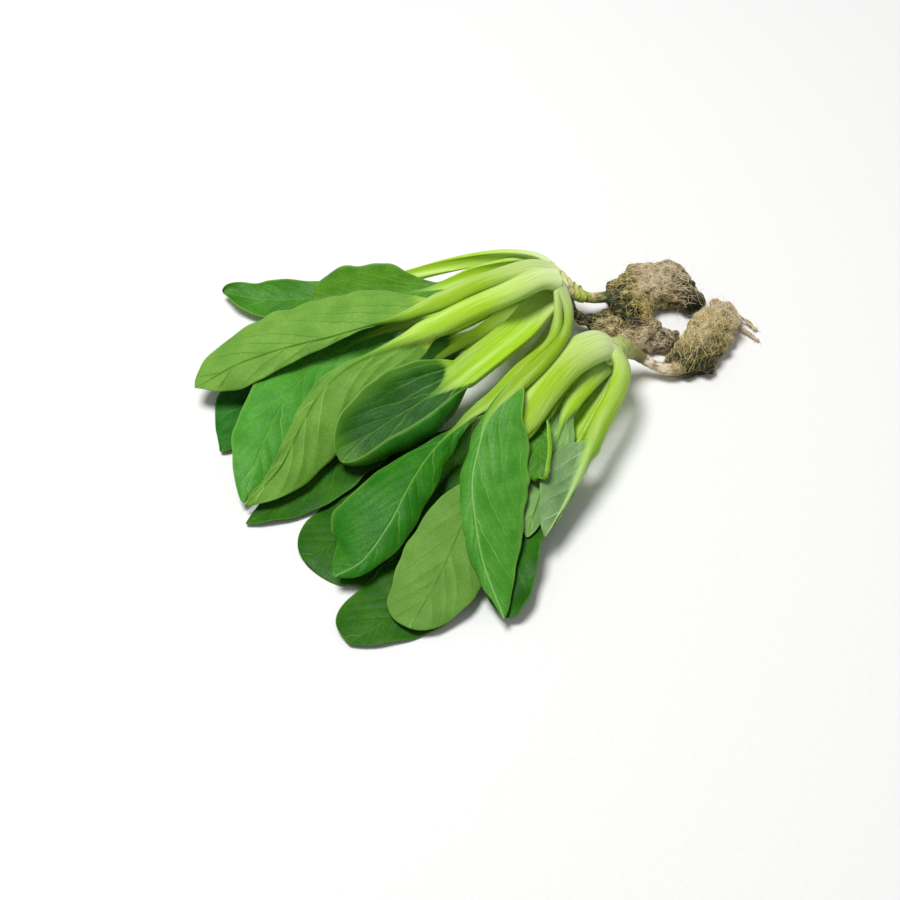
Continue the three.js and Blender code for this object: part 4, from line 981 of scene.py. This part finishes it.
def lobe_mesh(place, size, seed):
    """An ellipsoid whose surface swells and sinks like the CAD source's."""
    bm = bmesh.new()
    bmesh.ops.create_icosphere(bm, subdivisions=4, radius=1)
    d = unit(np.array([v.co for v in bm.verts]))
    faces = np.array([[v.index for v in f.verts] for f in bm.faces])
    bm.free()
    lumps = np.sin(d[:, 0] * LOBE_WAVES[0] + seed) * np.sin(d[:, 1] * LOBE_WAVES[1] + 2 * seed)
    ridges = np.sin(d[:, 2] * LOBE_WAVES[2] + d[:, 0] * LOBE_SKEW + 3 * seed) * LOBE_SECOND
    r = 1 + LOBE_RELIEF * (lumps + ridges)
    return np.array(place) + d * size * r[:, None], faces


def read_mesh(mesh):
    points = np.empty(len(mesh.vertices) * 3)
    mesh.vertices.foreach_get("co", points)
    normals = np.empty(len(points))
    mesh.vertices.foreach_get("normal", normals)
    return points.reshape(-1, 3), normals.reshape(-1, 3)


def fused(name, parts):
    """Several closed meshes joined in one even skin, cut flat at the surface that it lies on."""
    points, faces = joined(parts)
    rough = new_piece(name + "_rough", (points - CENTRE) * MM, faces, {})
    remesh = rough.modifiers.new("skin", "REMESH")
    remesh.mode = "VOXEL"
    remesh.voxel_size = VOXEL * MM
    graph = bpy.context.evaluated_depsgraph_get()
    mesh = bpy.data.meshes.new_from_object(rough.evaluated_get(graph))
    bpy.data.objects.remove(rough)
    bm = bmesh.new()
    bm.from_mesh(mesh)
    everything = bm.verts[:] + bm.edges[:] + bm.faces[:]
    bmesh.ops.bisect_plane(bm, geom=everything, dist=1e-6, plane_co=(0, 0, 0.3 * MM), plane_no=(0, 0, 1),
                           clear_inner=True)
    rim = [e for e in bm.edges if e.is_boundary]
    bmesh.ops.holes_fill(bm, edges=rim, sides=0)
    bmesh.ops.triangulate(bm, faces=[f for f in bm.faces if len(f.verts) > 4])
    bm.to_mesh(mesh)
    bm.free()
    mesh.name = name
    return add_object(name, mesh)


def fractal(points, scale, octaves, seed):
    shift = Vector((seed * 3.7, seed * 1.3, -seed * 2.1))
    return np.array([noise.fractal(Vector(p) * scale + shift, 1.0, 2.0, octaves) for p in points])


def zone_values(points, zones):
    """Lightness and greyness at each point, blended from the named zones nearest to it."""
    places = (np.array([z[0] for z in zones]) - CENTRE) * MM
    radius = np.array([z[1] for z in zones]) * MM
    gap = np.linalg.norm(points[:, None] - places[None], axis=2) / radius
    weight = np.exp(-gap**2 * 1.4) + 1e-6
    weight /= weight.sum(1, keepdims=True)
    return weight @ np.array([z[2] for z in zones]), weight @ np.array([z[3] for z in zones])


def joined(meshes):
    """Points and faces of several meshes as one."""
    counts = np.cumsum([0] + [len(points) for points, faces in meshes])
    return (np.concatenate([points for points, faces in meshes]),
            np.concatenate([faces + first for (points, faces), first in zip(meshes, counts)]))


def strand_skin(path, radius):
    """A thin three-sided tube along a path, slimmer at its end."""
    count = len(path)
    along = unit(np.gradient(path, axis=0))
    side = unit(np.cross(along, (0.13, 0.2, 0.97)))
    other = np.cross(along, side)
    wide = radius * (1 - 0.6 * np.linspace(0, 1, count) ** 2)[:, None]
    n = np.arange(count - 1)
    points, faces = [], []
    for k in range(3):
        angle = 2 * np.pi * k / 3
        points.append(path + wide * (math.cos(angle) * side + math.sin(angle) * other))
        a = k * count + n
        b = (k + 1) % 3 * count + n
        faces += [np.stack([a, b, b + 1], 1), np.stack([a, b + 1, a + 1], 1)]
    corner = np.arange(3) * count
    faces += [corner[None, ::-1], corner[None] + count - 1]
    return np.concatenate(points), np.concatenate(faces)


def hair_strands(head, points, normals, values, tree):
    """Thin roots that creep over the mass, with some ends that stand off it."""
    draw = np.random.default_rng(head["seed"])
    starts = np.flatnonzero((values["neck"] < 0.2) & (points[:, 2] > 2 * MM))
    light = values["tone"][starts].clip(0, 1)
    share = 0.03 + 0.5 * light + values["grey"][starts] * light
    share /= share.sum()
    grain = unit(np.array(head["grain"], float))
    skins, tones, greys = [], [], []
    for _ in range(head["hairs"]):
        at = draw.choice(starts, p=share)
        place, normal = points[at], normals[at]
        way = grain * draw.choice([-1, 1]) + 0.4 * draw.normal(size=3)
        loose = draw.random() < head["loose"]
        steps = draw.integers(*STRAND_STEPS)
        step, lift, radius = (draw.uniform(*span) * MM for span in (STRAND_STEP, STRAND_LIFT, STRAND_RADIUS))
        tone = 1.3 * values["tone"][at] + 0.9 * draw.random() - 0.2
        path = []
        for n in range(steps):
            path.append(place + normal * lift)
            way = unit(way + head["curly"] * draw.normal(size=3))
            off = loose and n > steps * 0.6
            if not off:
                way = unit(way - normal * way.dot(normal))
            place = place + way * step
            found = tree.find_nearest(Vector(place))
            if off:
                place = place + normal * 0.2 * step
            else:
                place, normal = np.array(found[0]), np.array(found[1])
        path = np.array(path)
        path[:, 2] = np.maximum(path[:, 2], 0.25 * MM)
        skins.append(strand_skin(path, radius))
        tones.append(np.full(3 * steps, tone))
        greys.append(np.full(3 * steps, values["grey"][at]))
    return *joined(skins), dict(tone=np.concatenate(tones), grey=np.concatenate(greys))


def root_material(name, skin_stops):
    sh = Shader(name)
    spot = sh.spot()
    down = sh.read("down")
    lumps = sh.noise(spot, 260.0, 4.0)
    fine = sh.noise(spot, 900.0, 4.0)
    fibres = sh.vector(sh.read("lengthwise") * 0.14, sh.read("crosswise"), sh.read("height"))
    fibres = sh.noise(fibres, 1.1, 4.0)
    level = sh.read("tone") + (lumps - 0.5) * 1.6 + (fibres - 0.5) * 1.9 + (fine - 0.5) * 0.5
    earthy = sh.ramp(level, (0.0, (0.006, 0.009, 0.002)), (0.25, (0.03, 0.04, 0.008)),
                     (0.45, (0.24, 0.19, 0.04)), (0.7, (0.66, 0.52, 0.13)), (1.0, (0.84, 0.70, 0.30)))
    pale = sh.ramp(level, (0.0, (0.015, 0.014, 0.010)), (0.25, (0.10, 0.075, 0.05)),
                   (0.5, (0.36, 0.26, 0.15)), (0.8, (0.82, 0.64, 0.45)), (1.0, (0.95, 0.83, 0.66)))
    skin = sh.ramp(down + (lumps - 0.5) * 0.5, *skin_stops)
    streaks = sh.noise(sh.vector(down * 4.0, sh.read("around")), 1.3, 4.0)
    skin = sh.mix(sh.step(streaks, 0.47, 0.6, 0.0, 0.8), skin, (0.24, 0.15, 0.06))
    colour = sh.mix(sh.read("neck"), sh.mix(sh.read("grey"), earthy, pale), skin)
    return sh.finish(colour, fine * 0.2 + 0.72, lumps + fine * 0.6 + fibres * 1.2, 0.9 * MM, 0.9)


def hair_material(name):
    sh = Shader(name)
    fine = sh.noise(sh.spot(), 700.0, 3.0)
    level = sh.read("tone") + (fine - 0.5) * 0.6
    earthy = sh.ramp(level, (0.0, (0.02, 0.025, 0.006)), (0.35, (0.20, 0.17, 0.04)),
                     (0.65, (0.58, 0.47, 0.13)), (1.0, (0.84, 0.72, 0.34)))
    pale = sh.ramp(level, (0.0, (0.04, 0.03, 0.018)), (0.3, (0.26, 0.19, 0.10)),
                   (0.6, (0.60, 0.47, 0.28)), (1.0, (0.90, 0.78, 0.60)))
    return sh.finish(sh.mix(sh.read("grey"), earthy, pale), 0.8, fine, 0.2 * MM, 0.6)


def crown_material(name, stops):
    sh = Shader(name)
    spot = sh.spot()
    lumps = sh.noise(spot, 170.0, 4.0)
    fine = sh.noise(spot, 900.0, 3.0)
    colour = sh.ramp(sh.read("down") + (lumps - 0.5) * 0.5, *stops)
    scarred = sh.read("scar") * sh.step(lumps, 0.35, 0.6, 0.3, 0.9)
    colour = sh.mix(scarred, colour, (0.30, 0.25, 0.09))
    return sh.finish(colour, 0.55, lumps + fine * 0.3, 0.6 * MM, 0.7)


def make_crown(name, head):
    """A knob with ridges where old leaves stood."""
    seed = head["seed"]
    points, faces = tube(head["crown"], CROWN_SIDES, CROWN_LINES)
    down = np.arange(CROWN_LINES * CROWN_SIDES) // CROWN_SIDES / (CROWN_LINES - 1)
    down = np.concatenate([down, [0, 1]])
    out = unit(points - Route([s[:3] for s in head["crown"]]).at(down))
    angle = np.arange(len(points)) % CROWN_SIDES / CROWN_SIDES * 2 * np.pi
    scars = down * SCARS + 0.35 * np.sin(angle * 2 + seed) + 0.2 * np.sin(angle * 5 + seed)
    ridge = np.exp(-((scars - np.round(scars)) / 0.12) ** 2)
    rough = fractal(points / 9, 1.0, 3, seed)
    relief = (0.35 + 0.9 * rough) * ridge + 0.9 * rough
    points = (points + out * relief[:, None] - CENTRE) * MM
    knob = new_piece(f"knob_{name}", points, faces, dict(down=down, scar=ridge))
    knob.data.materials.append(crown_material(f"knob_{name}", head["knob"]))
    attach(knob, "root")
    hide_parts(f"crown_{name}")


def beside_neck(head, points):
    """How far each point belongs to the neck, how far down it lies, and where round it."""
    route = Route([s[:3] for s in head["neck"]])
    line = (route.at(np.linspace(0, 1, NECK_STEPS)) - CENTRE) * MM
    gap = np.linalg.norm(points[:, None] - line[None], axis=2)
    nearest = gap.argmin(1)
    down = nearest / (NECK_STEPS - 1)
    offset = points - line[nearest]
    way = unit(line[-1] - line[0])
    around = np.arctan2(offset[:, 2], offset[:, 1] * way[0] - offset[:, 0] * way[1])
    neck = (1 - ease(gap.min(1), 4.6 * MM, 6.5 * MM)) * (1 - ease(down, 0.72, 0.95))
    return neck, down, around


def make_roots(name, head):
    """The matted roots: lobes, neck and strands in one lumpy skin, and the loose rootlets on it."""
    seed = head["seed"]
    parts = [lobe_mesh(*lobe, seed + n) for n, lobe in enumerate(head["lobes"])]
    parts += [tube(stations, TUBE_SIDES, TUBE_LINES) for stations in [head["neck"], *head["strands"]]]
    mass = fused(f"mass_{name}", parts)
    points, normals = read_mesh(mass.data)
    neck, down, around = beside_neck(head, points)
    away = (1 - neck) * ease(points[:, 2], 0.5 * MM, 4 * MM)
    lumps = fractal(points, 170, 3, seed)
    clumps = fractal(points, 420, 3, seed + 1)
    swell = (1.5 * lumps + 0.45 * clumps) * away + 0.25 * clumps * (1 - away)
    points = points + normals * np.minimum(swell, 1.5)[:, None] * MM
    points[:, 2] = np.maximum(points[:, 2], 0.05 * MM)
    mass.data.vertices.foreach_set("co", points.ravel())
    tone, grey = zone_values(points, head["zones"])
    grain = unit(np.array(head["grain"], float))
    place = points / MM
    values = dict(tone=0.62 * tone + 0.2 * lumps, grey=grey, neck=neck, down=down, around=around,
                  lengthwise=place @ grain, height=place[:, 2],
                  crosswise=place[:, 1] * grain[0] - place[:, 0] * grain[1])
    set_values(mass.data, values)
    mass.data.shade_smooth()
    mass.data.materials.clear()
    mass.data.materials.append(root_material(f"mass_{name}", head["skin"]))
    mass.data.update()
    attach(mass, "root")
    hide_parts(f"root_{name}")
    points, normals = read_mesh(mass.data)
    tree = BVHTree.FromPolygons([Vector(p) for p in points], [tuple(f.vertices) for f in mass.data.polygons])
    hairs = new_piece(f"rootlets_{name}", *hair_strands(head, points, normals, values, tree))
    hairs.data.materials.append(hair_material(f"rootlets_{name}"))
    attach(hairs, "root")


for name, head in HEADS.items():
    make_crown(name, head)
    make_roots(name, head)

# Floor, light and camera
floor_mesh = bpy.data.meshes.new("floor")
SIDE = 6.0
floor_mesh.from_pydata([(-SIDE, -SIDE, 0), (SIDE, -SIDE, 0), (SIDE, SIDE, 0), (-SIDE, SIDE, 0)], [],
                       [(0, 1, 2, 3)])
floor = add_object("floor", floor_mesh)
paper = Shader("floor")
grain = paper.noise(paper.spot(), 400.0, 2.0)
floor_mesh.materials.append(paper.finish(
    paper.ramp(grain, (0.0, (0.86, 0.86, 0.85)), (1.0, (0.92, 0.92, 0.91))), 0.8, grain, 0.02 * MM))


def lamp(name, place, size, watts, colour=(1, 1, 1)):
    data = bpy.data.lights.new(name, "AREA")
    data.shape = "DISK"
    data.size = size
    data.energy = watts
    data.color = colour
    obj = add_object(name, data)
    obj.location = place
    obj.rotation_euler = (-Vector(place)).to_track_quat("-Z", "Y").to_euler()


lamp("key_light", (-0.5, 0.4, 2.3), 1.0, 54)
lamp("fill_light", (1.6, -1.4, 1.5), 1.8, 3)

world = bpy.data.worlds.new("studio")
world.use_nodes = True
world.node_tree.nodes["Background"].inputs[0].default_value = (1, 1, 1, 1)
world.node_tree.nodes["Background"].inputs[1].default_value = 0.25
bpy.context.scene.world = world
bpy.context.scene.view_settings.view_transform = "Standard"

# The photograph's camera, found by fitting the bunch to it: a square picture 900 pixels wide
FOCAL_PIXELS = 2045
PICTURE = 900
SENSOR = 36
camera_data = bpy.data.cameras.new("camera")
camera_data.sensor_width = SENSOR
camera_data.lens = FOCAL_PIXELS / PICTURE * SENSOR
camera = add_object("camera", camera_data)
right = Vector((0.86961, -0.4937, 0.00662))
down = Vector((-0.37177, -0.66354, -0.64923))
look = Vector((0.32492, 0.56211, -0.76056))
turn = Matrix((right, -down, -look)).transposed().to_4x4()
camera.matrix_world = Matrix.Translation(Vector((-439.2, -734.9, 973.3)) * MM
                                         - Vector(CENTRE) * MM) @ turn
bpy.context.scene.camera = camera


def corners(box):
    return [[float(value) for value in corner] for corner in box]
